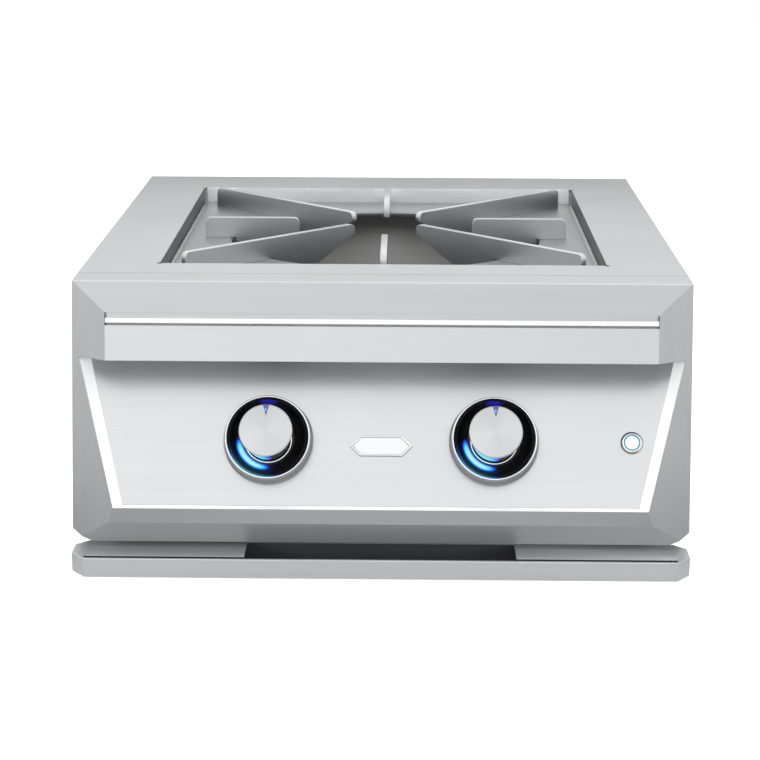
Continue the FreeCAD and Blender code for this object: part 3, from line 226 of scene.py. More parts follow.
@dataclass(frozen=True)
class Finish(ABC):
    """A surface's colour and gloss, and how far its pattern changes them.

    Attributes:
        name: The material's name.
        colour: The sRGB hex colour.
        roughness: The mean roughness.
        metallic: 1 for a metal, 0 for anything else.
        ior: The index of refraction; a metal keeps the default.
        tone: The colour's change at the pattern's ends, as a share.
        uneven: The whole spread of the roughness.
        relief_mm: The relief's depth where the pattern is 1.
        relief: How much of the relief shows.
    """

    name: str
    colour: str
    roughness: float
    metallic: float = 0.0
    ior: float = 1.5
    tone: float = 0.06
    uneven: float = 0.08
    relief_mm: float = 0.02
    relief: float = 0.3

    def make(self) -> Material:
        """Make the material: a plain surface, then the finish's own pattern on it.

        Returns:
            The new material.
        """
        material = bpy.data.materials.new(self.name)
        material.use_nodes = True
        tree = material.node_tree
        shader = tree.nodes["Principled BSDF"]
        shader.inputs["Base Color"].default_value = linear(self.colour)
        shader.inputs["Roughness"].default_value = self.roughness
        shader.inputs["Metallic"].default_value = self.metallic
        shader.inputs["IOR"].default_value = self.ior
        self.pattern(Surface(tree, shader, add(tree, "TexCoord").outputs["Object"]))
        return material

    @abstractmethod
    def pattern(self, surface: Surface) -> None:
        """Break up the plain surface as the real one is.

        Args:
            surface: The material in the making.
        """

    def tint(self, surface: Surface, amount: Source) -> None:
        """Lighten and darken the colour by a pattern: the colour times 1 less or plus the tone.

        Args:
            surface: The material in the making.
            amount: The pattern, 0 to 1.
        """
        base = linear(self.colour)
        low = tuple(c * (1 - self.tone) for c in base[:3]) + (1.0,)
        high = tuple(min(1.0, c * (1 + self.tone)) for c in base[:3]) + (1.0,)
        ends = {"data_type": "RGBA", COLOUR_A: low, COLOUR_B: high}
        mix = add(surface.tree, "Mix", ends, {FACTOR: amount})
        surface.tree.links.new(mix.outputs[COLOUR_OUT], surface.shader.inputs["Base Color"])

    def vary(self, surface: Surface, amount: Source) -> None:
        """Spread the roughness by a pattern, half its spread each way.

        Args:
            surface: The material in the making.
            amount: The pattern, 0 to 1.
        """
        half = self.uneven / 2
        ends = {"To Min": self.roughness - half, "To Max": self.roughness + half}
        spread = add(surface.tree, "MapRange", ends, {"Value": amount})
        surface.tree.links.new(spread.outputs["Result"], surface.shader.inputs["Roughness"])

    def bump(self, surface: Surface, height: Source) -> None:
        """Give the surface a relief of the pattern's height.

        Args:
            surface: The material in the making.
            height: The pattern, 0 to 1.
        """
        depth = {"Strength": self.relief, "Distance": self.relief_mm * MM}
        relief = add(surface.tree, "Bump", depth, {"Height": height})
        surface.tree.links.new(relief.outputs["Normal"], surface.shader.inputs["Normal"])


class Grain(Enum):
    """The way in which a sheet was brushed."""

    ACROSS = "x"
    UP = "z"
    RADIAL = "radial"


@dataclass(frozen=True)
class BrushedStainless(Finish):
    """304 stainless sheet, belt brushed: fine straight lines that blur what it mirrors.

    Attributes:
        grain: The brushing's direction.
        line_mm: The lines' spacing. The real 0.1 mm is too fine to show, so it is drawn coarser.
        run_mm: How long a line runs.
        centre: The middle of a radial brushing, in metres.
        band_lines: How many lines wide a broad band of the belt is.
        band_runs: How many runs long it is.
        band_share: The bands' share of the pattern.
        mark_scale: Handling marks to the metre.
    """

    metallic: float = 1.0
    tone: float = 0.035
    uneven: float = 0.16
    relief: float = 0.12
    grain: Grain = Grain.ACROSS
    line_mm: float = 0.9
    run_mm: float = 130.0
    centre: Point = (0.0, 0.0, 0.0)
    band_lines: float = 9
    band_runs: float = 3
    band_share: float = 0.35
    mark_scale: float = 9.0

    def along(self, tree: Tree, place: Socket, line_mm: float, run_mm: float) -> Node:
        """Squeeze the surface point across the brushing and stretch it along.

        Args:
            tree: The material's tree.
            place: The surface point in the shared frame.
            line_mm: The width that becomes one unit across.
            run_mm: The length that becomes one unit along.

        Returns:
            The node that gives the stretched point.
        """
        vector: Source = place
        fine, long = 1 / (line_mm * MM), 1 / (run_mm * MM)
        if self.grain is Grain.RADIAL:
            moved = add(tree, "VectorMath", {"operation": "SUBTRACT", 1: self.centre}, {0: place})
            parts = add(tree, "SeparateXYZ", links={0: moved})
            flat = add(tree, "CombineXYZ", links={axis: parts.outputs[axis] for axis in "XY"})
            reach = add(tree, "VectorMath", {"operation": "LENGTH"}, {0: flat})
            bent = {"X": reach.outputs["Value"], "Z": parts.outputs["Z"]}
            vector = add(tree, "CombineXYZ", links=bent)
        scale = (fine, fine, long) if self.grain is Grain.UP else (long, fine, fine)
        return add(tree, "Mapping", {"Scale": scale}, {"Vector": vector})

    def pattern(self, surface: Surface) -> None:
        """Draw fine lines, broad bands and faint handling marks.

        Args:
            surface: The material in the making.
        """
        tree, place = surface.tree, surface.place
        fine = self.along(tree, place, self.line_mm, self.run_mm)
        sharp = {"Scale": 1.0, "Detail": 3.0, "Roughness": 0.7}
        lines = add(tree, "TexNoise", sharp, {"Vector": fine})
        wide, long = self.line_mm * self.band_lines, self.run_mm * self.band_runs
        broad = self.along(tree, place, wide, long)
        bands = add(tree, "TexNoise", {"Scale": 1.0, "Detail": 1.0}, {"Vector": broad})
        shares = {"data_type": "FLOAT", FACTOR: self.band_share}
        both = add(tree, "Mix", shares, {LEVEL_A: lines, LEVEL_B: bands})
        clear = add(tree, "MapRange", {"From Min": 0.3, "From Max": 0.7}, {"Value": both})
        self.tint(surface, clear)
        marks = add(tree, "TexNoise", {"Scale": self.mark_scale, "Detail": 2.0}, {"Vector": place})
        halves = {"data_type": "FLOAT", FACTOR: 0.5}
        worn = add(tree, "Mix", halves, {LEVEL_A: lines, LEVEL_B: marks})
        self.vary(surface, worn)
        self.bump(surface, lines)


@dataclass(frozen=True)
class PolishedStainless(Finish):
    """Buffed stainless: a near mirror with a faint haze of buffing swirls.

    Attributes:
        swirl_mm: The swirls' size.
        grazing: How much of the metal's gloss at a grazing angle is left by its coating.
    """

    metallic: float = 1.0
    tone: float = 0.02
    uneven: float = 0.06
    swirl_mm: float = 6.0
    grazing: float = 1.0

    def pattern(self, surface: Surface) -> None:
        """Make the gloss a little uneven and the colour hardly so.

        Args:
            surface: The material in the making.
        """
        tree, place = surface.tree, surface.place
        grazing = (self.grazing, self.grazing, self.grazing, 1.0)
        surface.shader.inputs["Specular Tint"].default_value = grazing
        size = {"Scale": 1 / (self.swirl_mm * MM), "Detail": 4.0}
        swirls = add(tree, "TexNoise", size, {"Vector": place})
        self.vary(surface, swirls)
        self.tint(surface, swirls)


@dataclass(frozen=True)
class SpunCap(Finish):
    """A turned stainless disc: fine rings, and a painted sheen in two soft rays round its middle.

    Attributes:
        seat: The disc's place on the panel.
        ring_mm: The turning marks' spacing, drawn coarser than the real 0.05 mm to show.
        sheen_turn: How far the painted sheen's rays are turned from the disc's own X, doubled, in
            radians.
        ring_share: The rings' share of the pattern.
    """

    metallic: float = 1.0
    relief_mm: float = 0.01
    relief: float = 0.08
    seat: Seat = Seat(0, 0, 0)
    ring_mm: float = 0.8
    sheen_turn: float = 0.9
    ring_share: float = 0.3

    def pattern(self, surface: Surface) -> None:
        """Lay a painted sheen on the turning marks in two opposite rays.

        Args:
            surface: The material in the making.
        """
        tree, place = surface.tree, surface.place
        local = self.seat.local(tree, place)
        parts = add(tree, "SeparateXYZ", links={0: local})
        # Painted sheen: lighter and darker by angle, in two opposite rays.
        rise_and_run = {0: parts.outputs["Y"], 1: parts.outputs["X"]}
        angle = add(tree, "Math", {"operation": "ARCTAN2"}, rise_and_run)
        twice = {"operation": "MULTIPLY_ADD", 1: 2.0, 2: self.sheen_turn}
        doubled = add(tree, "Math", twice, {0: angle})
        rays = add(tree, "Math", {"operation": "SINE"}, {0: doubled})
        soft = add(tree, "MapRange", {"From Min": -1.0, "From Max": 1.0}, {"Value": rays})
        reach = add(tree, "VectorMath", {"operation": "LENGTH"}, {0: local}).outputs["Value"]
        spaced = {"operation": "MULTIPLY", 1: 1 / (self.ring_mm * MM)}
        rings = add(tree, "Math", spaced, {0: reach})
        outwards = {"noise_dimensions": "1D", "Scale": 1.0, "Detail": 2.0}
        marks = add(tree, "TexNoise", outwards, {"W": rings})
        shares = {"data_type": "FLOAT", FACTOR: self.ring_share}
        both = add(tree, "Mix", shares, {LEVEL_A: soft, LEVEL_B: marks})
        self.tint(surface, both)
        self.vary(surface, marks)
        self.bump(surface, marks)


@dataclass(frozen=True)
class GalvanisedSheet(Finish):
    """Hot-dip zinc on steel sheet: pale grey with a frosty spangle.

    Attributes:
        spangle_mm: The zinc crystals' width.
    """

    metallic: float = 1.0
    tone: float = 0.10
    uneven: float = 0.16
    spangle_mm: float = 9.0

    def pattern(self, surface: Surface) -> None:
        """Give each crystal a shade and a gloss of its own.

        Args:
            surface: The material in the making.
        """
        tree, place = surface.tree, surface.place
        cells = add(tree, "TexVoronoi", {"Scale": 1 / (self.spangle_mm * MM)}, {"Vector": place})
        shade = add(tree, "SeparateColor", links={0: cells.outputs["Color"]})
        self.tint(surface, shade.outputs[0])
        self.vary(surface, shade.outputs[1])


@dataclass(frozen=True)
class CastMetal(Finish):
    """Sand-cast iron or die-cast alloy: a matt skin with a fine pebble.

    Attributes:
        grit_mm: The mould's grit.
        cloud_scale: Cloudy patches to the metre.
    """

    tone: float = 0.25
    uneven: float = 0.2
    relief_mm: float = 0.12
    relief: float = 0.6
    grit_mm: float = 1.1
    cloud_scale: float = 30.0

    def pattern(self, surface: Surface) -> None:
        """Raise the mould's grit, and cloud the casting's colour.

        Args:
            surface: The material in the making.
        """
        tree, place = surface.tree, surface.place
        size = {"Scale": 1 / (self.grit_mm * MM), "Detail": 5.0}
        grit = add(tree, "TexNoise", size, {"Vector": place})
        cloud = add(tree, "TexNoise", {"Scale": self.cloud_scale, "Detail": 3.0}, {"Vector": place})
        self.tint(surface, cloud)
        self.vary(surface, grit)
        self.bump(surface, grit)


@dataclass(frozen=True)
class TurnedMetal(Finish):
    """Drawn tube or turned brass: faint lines round the piece, a soft gloss.

    Attributes:
        line_mm: The tool marks' spacing.
        mark_scale: Tool marks to the metre along their own run.
        stain_scale: Handling stains to the metre.
    """

    metallic: float = 1.0
    tone: float = 0.12
    uneven: float = 0.15
    line_mm: float = 0.7
    mark_scale: float = 60.0
    stain_scale: float = 45.0

    def pattern(self, surface: Surface) -> None:
        """Draw the tool marks and a faint stain of handling.

        Args:
            surface: The material in the making.
        """
        tree, place = surface.tree, surface.place
        scale = (self.mark_scale, 1 / (self.line_mm * MM), self.mark_scale)
        squeezed = add(tree, "Mapping", {"Scale": scale}, {"Vector": place})
        marks = add(tree, "TexNoise", {"Scale": 1.0, "Detail": 2.0}, {"Vector": squeezed})
        stain = add(tree, "TexNoise", {"Scale": self.stain_scale, "Detail": 3.0}, {"Vector": place})
        self.tint(surface, stain)
        self.vary(surface, marks)


@dataclass(frozen=True)
class MouldedPlastic(Finish):
    """Injection-moulded ABS or phenolic, or rubber: even colour over a fine texture.

    Attributes:
        grain_mm: The mould texture's grain.
    """

    grain_mm: float = 0.8

    def pattern(self, surface: Surface) -> None:
        """Give the skin a faint orange peel and a slightly uneven gloss.

        Args:
            surface: The material in the making.
        """
        tree, place = surface.tree, surface.place
        size = {"Scale": 1 / (self.grain_mm * MM), "Detail": 2.0}
        peel = add(tree, "TexNoise", size, {"Vector": place})
        self.tint(surface, peel)
        self.vary(surface, peel)
        self.bump(surface, peel)


@dataclass(frozen=True)
class GlowArc:
    """One patch of painted blue glow, as angles round the seat and a radius band.

    Attributes:
        middle_deg: The patch's middle, anticlockwise from the right.
        half_deg: Half its sweep.
        radius_mm: The radius where it is brightest.
        half_mm: How far it fades to each side of that radius.
        gain: Its brightness, where 1 reaches the palest colour.
    """

    middle_deg: float
    half_deg: float
    radius_mm: float
    half_mm: float
    gain: float

    def level(self, tree: Tree, angle: Source, reach: Socket) -> Node:
        """Work out the patch's brightness: 1 less a power of each offset from its middle.

        Args:
            tree: The material's tree.
            angle: The angle round the seat, in radians.
            reach: The distance from the seat's axis, in metres.

        Returns:
            The node that gives the brightness, 0 where it has faded.
        """
        turned_by = {"operation": "SUBTRACT", 1: math.radians(self.middle_deg)}
        offset = add(tree, "Math", turned_by, {0: angle})
        wrapped = add(tree, "Math", {"operation": "WRAP", 1: math.pi, 2: -math.pi}, {0: offset})
        beyond = add(tree, "Math", {"operation": "SUBTRACT", 1: self.radius_mm * MM}, {0: reach})
        fades = []
        for source, half, power in (
            (wrapped, math.radians(self.half_deg), 4.0),
            (beyond, self.half_mm * MM, 2.0),
        ):
            part = add(tree, "Math", {"operation": "DIVIDE", 1: half}, {0: source})
            size = add(tree, "Math", {"operation": "ABSOLUTE"}, {0: part})
            fades.append(add(tree, "Math", {"operation": "POWER", 1: power}, {0: size}))
        faded = add(tree, "Math", {"operation": "ADD"}, dict(enumerate(fades)))
        left = add(tree, "Math", {"operation": "SUBTRACT", 0: 1.0, "use_clamp": True}, {1: faded})
        return add(tree, "Math", {"operation": "MULTIPLY", 1: self.gain}, {0: left})


@dataclass(frozen=True)
class LitGloss(Finish):
    """Glossy black plastic with the halo's blue light painted on it as glow.

    Attributes:
        seat: The knob's place on the panel.
        arcs: The patches of light.
        strength: The light's strength at the palest colour.
        stops: The light's colours: black where unlit, deep blue, azure, then pale cyan.
        peel_scale: Ripples of the moulded skin to the metre.
    """

    uneven: float = 0.05
    seat: Seat = Seat(0, 0, 0)
    arcs: tuple[GlowArc, ...] = ()
    strength: float = 1.0
    stops: tuple[tuple[float, str], ...] = (
        (0.0, "000000"),
        (0.18, "141479"),
        (0.40, "1F49D8"),
        (0.62, "18B2E8"),
        (0.85, "9BE6FA"),
        (1.0, "CFF4FB"),
    )
    peel_scale: float = 400.0

    def pattern(self, surface: Surface) -> None:
        """Paint the patches of glow on the black: where two meet, the brighter one shows.

        Args:
            surface: The material in the making.
        """
        tree, place = surface.tree, surface.place
        local = self.seat.local(tree, place)
        parts = add(tree, "SeparateXYZ", links={0: local})
        rise_and_run = {0: parts.outputs["Y"], 1: parts.outputs["X"]}
        angle = add(tree, "Math", {"operation": "ARCTAN2"}, rise_and_run)
        flat = add(tree, "CombineXYZ", links={axis: parts.outputs[axis] for axis in "XY"})
        reach = add(tree, "VectorMath", {"operation": "LENGTH"}, {0: flat}).outputs["Value"]
        total, *others = [arc.level(tree, angle, reach) for arc in self.arcs]
        for level in others:
            total = add(tree, "Math", {"operation": "MAXIMUM"}, {0: total, 1: level})
        ramp = add(tree, "ValToRGB", links={"Fac": total})
        elements = ramp.color_ramp.elements
        while len(elements) < len(self.stops):
            elements.new(0.5)
        for element, (spot, code) in zip(elements, self.stops):
            element.position = spot
            element.color = linear(code)
        tree.links.new(ramp.outputs["Color"], surface.shader.inputs["Emission Color"])
        surface.shader.inputs["Emission Strength"].default_value = self.strength
        peel = add(tree, "TexNoise", {"Scale": self.peel_scale, "Detail": 1.0}, {"Vector": local})
        self.vary(surface, peel)


@dataclass(frozen=True)
class LitLens(Finish):
    """Diffusing acrylic with a lamp behind it: bright, a little uneven.

    Attributes:
        glow: The light's sRGB hex colour.
        strength: The light's strength.
        dimmest: The light's share that gets through where the diffuser is thick.
        cloud_scale: Cloudy patches to the metre.
    """

    uneven: float = 0.06
    glow: str = "FFFFFF"
    strength: float = 1.0
    dimmest: float = 0.82
    cloud_scale: float = 350.0

    def pattern(self, surface: Surface) -> None:
        """Make the light a little weaker where the diffuser is thick.

        Args:
            surface: The material in the making.
        """
        tree, place = surface.tree, surface.place
        cloud = add(tree, "TexNoise", {"Scale": self.cloud_scale, "Detail": 1.0}, {"Vector": place})
        base = linear(self.glow)
        low = tuple(c * self.dimmest for c in base[:3]) + (1.0,)
        ends = {"data_type": "RGBA", COLOUR_A: low, COLOUR_B: base}
        mix = add(tree, "Mix", ends, {FACTOR: cloud})
        tree.links.new(mix.outputs[COLOUR_OUT], surface.shader.inputs["Emission Color"])
        surface.shader.inputs["Emission Strength"].default_value = self.strength
        self.vary(surface, cloud)


# Meshes


def finish_mesh(name: str, mesh: Mesh, smooth_deg: float) -> Piece:
    """Put a mesh in the scene with soft shading below an angle.

    Args:
        name: The piece's name.
        mesh: Its mesh, in the shared frame.
        smooth_deg: Edges sharper than this stay hard.

    Returns:
        The new object, at the origin.
    """
    piece = bpy.data.objects.new(name, mesh)
    bpy.context.scene.collection.objects.link(piece)
    mesh.polygons.foreach_set("use_smooth", np.ones(len(mesh.polygons), bool))
    mesh.set_sharp_from_angle(angle=math.radians(smooth_deg))
    return piece


def surface_mesh(
    name: str,
    grid: np.ndarray,
    wrap: bool,
    slots: Optional[np.ndarray] = None,
) -> Mesh:
    """Turn a grid of points into a mesh.

    Rows run along the profile and columns round it; the last column joins the first.
    With wrap the last row joins the first too. Rows that shrink to a point become a pole.

    Args:
        name: The mesh's name.
        grid: Points, rows by columns by three, in metres.
        wrap: Whether the profile is a closed loop.
        slots: The material index of each band between two rows.

    Returns:
        The mesh, with its normals outwards.
    """
    rows, columns = grid.shape[:2]
    bands = rows if wrap else rows - 1
    i, j = np.meshgrid(np.arange(bands), np.arange(columns), indexing="ij")
    i2, j2 = (i + 1) % rows, (j + 1) % columns
    corners = [i * columns + j, i * columns + j2, i2 * columns + j2, i2 * columns + j]
    mesh = bpy.data.meshes.new(name)
    mesh.from_pydata(grid.reshape(-1, 3), [], np.stack(corners, -1).reshape(-1, 4))
    if slots is not None:
        indices = np.repeat(slots[:bands], columns).astype(np.int32)
        mesh.polygons.foreach_set("material_index", indices)
    work = bmesh.new()
    work.from_mesh(mesh)
    bmesh.ops.remove_doubles(work, verts=work.verts, dist=SURFACE_MERGE)
    bmesh.ops.recalc_face_normals(work, faces=work.faces)
    work.to_mesh(mesh)
    work.free()
    mesh.update()
    return mesh


def capped(mesh: Mesh) -> Mesh:
    """Close a mesh's open ends and turn its normals outwards.

    Args:
        mesh: The mesh, which is changed.

    Returns:
        The same mesh.
    """
    work = bmesh.new()
    work.from_mesh(mesh)
    bmesh.ops.holes_fill(work, edges=[edge for edge in work.edges if edge.is_boundary], sides=0)
    bmesh.ops.recalc_face_normals(work, faces=work.faces)
    work.to_mesh(mesh)
    work.free()
    return mesh


def turned(
    name: str,
    profile: Iterable[tuple[float, ...]],
    place: Matrix,
    sides: int = 128,
    wrap: bool = True,
    smooth_deg: float = 35.0,
) -> Piece:
    """Turn a profile round an axis: radius times the circle's direction, plus height along it.

    Args:
        name: The piece's name.
        profile: Radius and height in millimetres, and where it has several materials, the
            material index of the stretch that starts there.
        place: The axis's place, its Z along the axis, in metres.
        sides: Points round the circle.
        wrap: Whether the profile is a closed loop.
        smooth_deg: Edges sharper than this stay hard.

    Returns:
        The new object.
    """
    table = np.array([tuple(row) for row in profile], float)
    line = table[:, :2] * MM
    slots = table[:, 2] if table.shape[1] > 2 else None
    turn = np.linspace(0, 2 * np.pi, sides, endpoint=False)
    grid = np.empty((len(line), sides, 3))
    grid[..., 0] = line[:, :1] * np.cos(turn)
    grid[..., 1] = line[:, :1] * np.sin(turn)
    grid[..., 2] = line[:, 1:]
    spots = grid @ np.array(place.to_3x3()).T + np.array(place.translation)
    return finish_mesh(name, surface_mesh(name, spots, wrap, slots), smooth_deg)


def rounded(points: Iterable[Pair], radii: Iterable[float], steps: int = 5) -> np.ndarray:
    """Round the corners of a closed outline with quadratic curves.

    Each corner becomes (1-t)^2 times the way in, 2t(1-t) times the corner and t^2 times
    the way out, where the two ways lie one radius along its sides.

    Args:
        points: The outline's corners.
        radii: The rounding at each corner, 0 to leave it sharp.
        steps: Points at each rounded corner.

    Returns:
        The rounded outline's points.
    """
    line = np.asarray(list(points), float)
    made = []
    for spot, before, after, radius in zip(line, np.roll(line, 1, 0), np.roll(line, -1, 0), radii):
        if radius <= 0:
            made.append(spot[None])
            continue
        way_in = spot + (before - spot) / np.linalg.norm(before - spot) * radius
        way_out = spot + (after - spot) / np.linalg.norm(after - spot) * radius
        t = np.linspace(0, 1, steps)[:, None]
        made.append((1 - t) ** 2 * way_in + 2 * t * (1 - t) * spot + t**2 * way_out)
    return np.concatenate(made)


def eased(
    node: str,
    edge_mm: float,
    smooth_deg: float = 32.0,
    segments: int = 2,
    rolls: tuple[Roll, ...] = (),
) -> Piece:
    """Copy a CAD node, join its loose triangles and ease its edges.

    Args:
        node: The CAD node's name.
        edge_mm: The easing's width, 0 for none.
        smooth_deg: Edges sharper than this are eased, or stay hard.
        segments: Facets in the easing.
        rolls: Wider folds, each a width in millimetres and a test that its edges' ends pass.

    Returns:
        The copy, which stands for the node.
    """
    mesh = frame["nodes"][node].data.copy()
    mesh.name = node + "_sheet"
    sharp = math.radians(smooth_deg)
    work = bmesh.new()
    work.from_mesh(mesh)
    bmesh.ops.remove_doubles(work, verts=work.verts, dist=NODE_MERGE)
    flat = math.radians(FLAT_DEG)
    bmesh.ops.dissolve_limit(work, angle_limit=flat, verts=work.verts, edges=work.edges)
    widest = max((width for width, _ in rolls), default=1.0)
    weight = work.edges.layers.float.new("bevel_weight_edge")
    for width, inside in rolls:
        for edge in work.edges:
            if all(inside(vert.co) for vert in edge.verts) and edge.calc_face_angle(0.0) > sharp:
                edge[weight] = width / widest
    work.to_mesh(mesh)
    work.free()
    mesh.materials.clear()
    piece = finish_mesh(node + "_dressed", mesh, smooth_deg)
    if rolls:
        roll = piece.modifiers.new("rolled_folds", "BEVEL")
        roll.width = widest * MM
        roll.segments = ROLL_FACETS
        roll.limit_method = "WEIGHT"
        roll.harden_normals = True
    if edge_mm > 0:
        ease = piece.modifiers.new("eased_edges", "BEVEL")
        ease.width = edge_mm * MM
        ease.segments = segments
        ease.limit_method = "ANGLE"
        ease.angle_limit = sharp
        ease.harden_normals = True
        ease.miter_outer = "MITER_ARC"
    return piece


def slotted(piece: Piece, *zones: Zone) -> Piece:
    """Give parts of a piece its second, third and later materials.

    Args:
        piece: The piece.
        zones: For each slot after the first, a test of a face's normal and centre.

    Returns:
        The same piece.
    """
    for face in piece.data.polygons:
        for slot, zone in enumerate(zones, 1):
            if zone(face.normal, face.center):
                face.material_index = slot
    return piece


def node_body(node: str) -> str:
    """The CAD body that a node belongs to."""
    bodies = frame["record"]["behaviour"]["bodies"]
    return next(name for name, nodes in bodies.items() if node in nodes)


def dress(piece: Piece, node: str, *materials: Material, stands_for: bool = True) -> None:
    """Give a piece its materials, its body and its CAD node.

    Args:
        piece: The piece.
        node: The CAD node that it belongs with.
        materials: Its materials, in slot order.
        stands_for: Whether it replaces the node.
    """
    for material in materials:
        piece.data.materials.append(material)
    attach(piece, node_body(node))
    if stands_for:
        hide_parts(node)
    log.info("%s: %d faces", piece.name, len(piece.data.polygons))


# Sub-assemblies


@dataclass
class Shell:
    """The deck, the fascia and the box's outer sheets.

    Attributes:
        fold_mm: The outside radius of a folded or ground edge.
        cut_mm: The easing of a cut or pressed edge.
        cheek_mm: The easing of the recess's side walls.
        badge_mm: The easing of the blank plate.
        steel: The sheet's colour.
        roughness: The brushed sheet's roughness.
        top: The deck's height, in metres.
        seam: The Y of the joint between the deck and the brow.
        front: The Y of the brow's upper bend.
        rear: The Y of the opening's rear edge.
        opening: Half the opening's width.
        reach: How far behind an edge a face still belongs to its cut side, in metres.
    """

    fold_mm: float = 0.45
    cut_mm: float = 0.3
    cheek_mm: float = 0.2
    badge_mm: float = 0.35
    steel: str = "D2D3D4"
    roughness: float = 0.30
    top: float = 0.284
    seam: float = -0.2495
    front: float = -0.2885
    rear: float = 0.2755
    opening: float = 0.2285
    reach: float = 0.005

    def build(self) -> None:
        """Dress the sheets, each brushed along its length."""
        # Painted highlight: near-white blasted sheet lit as paint is; painted shade: a darker dull
        # mill.
        white = PolishedStainless("stainless_white_painted_highlight", "F6F6F6", 0.42, metallic=0.35).make()
        mill = BrushedStainless("stainless_mill_dull_and_painted_shade", "7C7D80", 0.5, tone=0.05).make()
        self.top_sheets(mill)
        self.recess(white)
        self.badge(mill)
        self.bar()
        zinc = GalvanisedSheet("zinc_coated_sheet", "B4B7BA", 0.42).make()
        for node in (
            "left_side_panel",
            "right_side_panel",
            "rear_panel",
            "left_tray_rail",
            "right_tray_rail",
        ):
            dress(eased(node, self.cut_mm), node, zinc)
        plated = PolishedStainless("screw_zinc_plated", "C9CBCE", 0.25).make()
        dress(eased("rail_screws", self.cut_mm), "rail_screws", plated)

    def roll(self, width_mm: float, depth: float) -> Roll:
        """Fold the top's edges that run across the unit at one depth.

        Args:
            width_mm: The fold's width.
            depth: The Y of its edges.

        Returns:
            The width, and a test of an edge's end.
        """
        return width_mm, lambda spot: abs(spot.y - depth) < ON_LINE and spot.z > self.top - ON_TOP

    def top_sheets(self, mill: Material) -> None:
        """Dress the deck with the opening's cut sides, and the bevelled brow.

        Args:
            mill: A darker dull mill copy for the opening's cut sides, partly painted shade.
        """
        rough = self.roughness + 0.02
        brushed = BrushedStainless("stainless_brushed_deck", self.steel, rough, tone=0.025).make()
        wall = PolishedStainless("stainless_blasted_wall", "CBCCCD", 0.42, metallic=0.35).make()
        seam = self.roll(0.8, self.seam)
        # Painted shade: the opening's cut sides take the darker dull mill copy of the deck's steel.
        deck = slotted(
            eased("top_deck", self.cut_mm, rolls=(seam, self.roll(2.0, self.rear))),
            lambda normal, spot: normal.y < -FACING and spot.y > self.rear - self.reach,
            lambda normal, spot: (
                abs(normal.x) > FACING and abs(spot.x) < self.opening + self.reach
                or normal.y < -FACING and spot.y < self.seam + self.reach
            ),
        )
        dress(deck, "top_deck", brushed, wall, mill)
        across = BrushedStainless("stainless_brushed_across", self.steel, self.roughness).make()
        # Painted shade: a darker dull mill copy on the brow's underside and back, partly the fold's
        # real mill finish, darkens the panel's top where it mirrors them.
        under = BrushedStainless("stainless_mill_underside_painted_shade", "A6A7AA", 0.5, tone=0.05).make()
        brow = slotted(
            eased("front_brow", self.cut_mm, rolls=(seam, self.roll(1.2, self.front))),
            lambda normal, spot: (
                normal.z < -FACING or normal.y > FACING and spot.y > self.seam - self.reach
            ),
        )
        dress(brow, "front_brow", across, under)

    def recess(self, white: Material) -> None:
        """Dress the sill, the end trims, the control panel and the recess's side walls.

        Args:
            white: A near-white finish lit as paint is: painted highlight on the side walls and
                ledge.
        """
        # Painted shade: the sill is a darker copy of the brushed steel, and its lower facet darker
        # still, for the shaded floor that they mirror.
        sill = BrushedStainless("stainless_brushed_sill_painted_shade", "B3B4B6", self.roughness).make()
        under = BrushedStainless("stainless_brushed_under_painted_shade", "A0A1A3", 0.46, metallic=0.75).make()
        ledge = slotted(
            eased("front_sill", self.fold_mm),
            lambda normal, spot: normal.z > FACING,
            lambda normal, spot: -FACING < normal.z < -0.2,
        )
        dress(ledge, "front_sill", sill, white, under)
        name = "stainless_brushed_upright"
        upright = BrushedStainless(name, "CDCED0", self.roughness, grain=Grain.UP).make()
        for node in ("left_end_trim", "right_end_trim"):
            dress(eased(node, self.fold_mm), node, upright)
        rough = self.roughness + 0.04
        panel = BrushedStainless("stainless_brushed_panel", "DADBDC", rough, tone=0.03).make()
        dress(eased("control_panel", self.fold_mm), "control_panel", panel)
        # Painted highlight: the side walls, like the ledge's top, are near-white sheet lit as paint
        # is.
        for node in ("left_cheek", "right_cheek"):
            dress(eased(node, self.cheek_mm), node, white)

    def badge(self, mill: Material) -> None:
        """Dress the blank plate: a polished face on a dull back.

        Args:
            mill: The dull mill finish of its back and sides.
        """
        face = PolishedStainless("badge_polished", "E9EAEC", 0.16).make()
        plate = eased("badge_plate", self.badge_mm, smooth_deg=25.0)
        slotted(plate, lambda normal, spot: normal.y > -0.8)
        dress(plate, "badge_plate", face, mill)

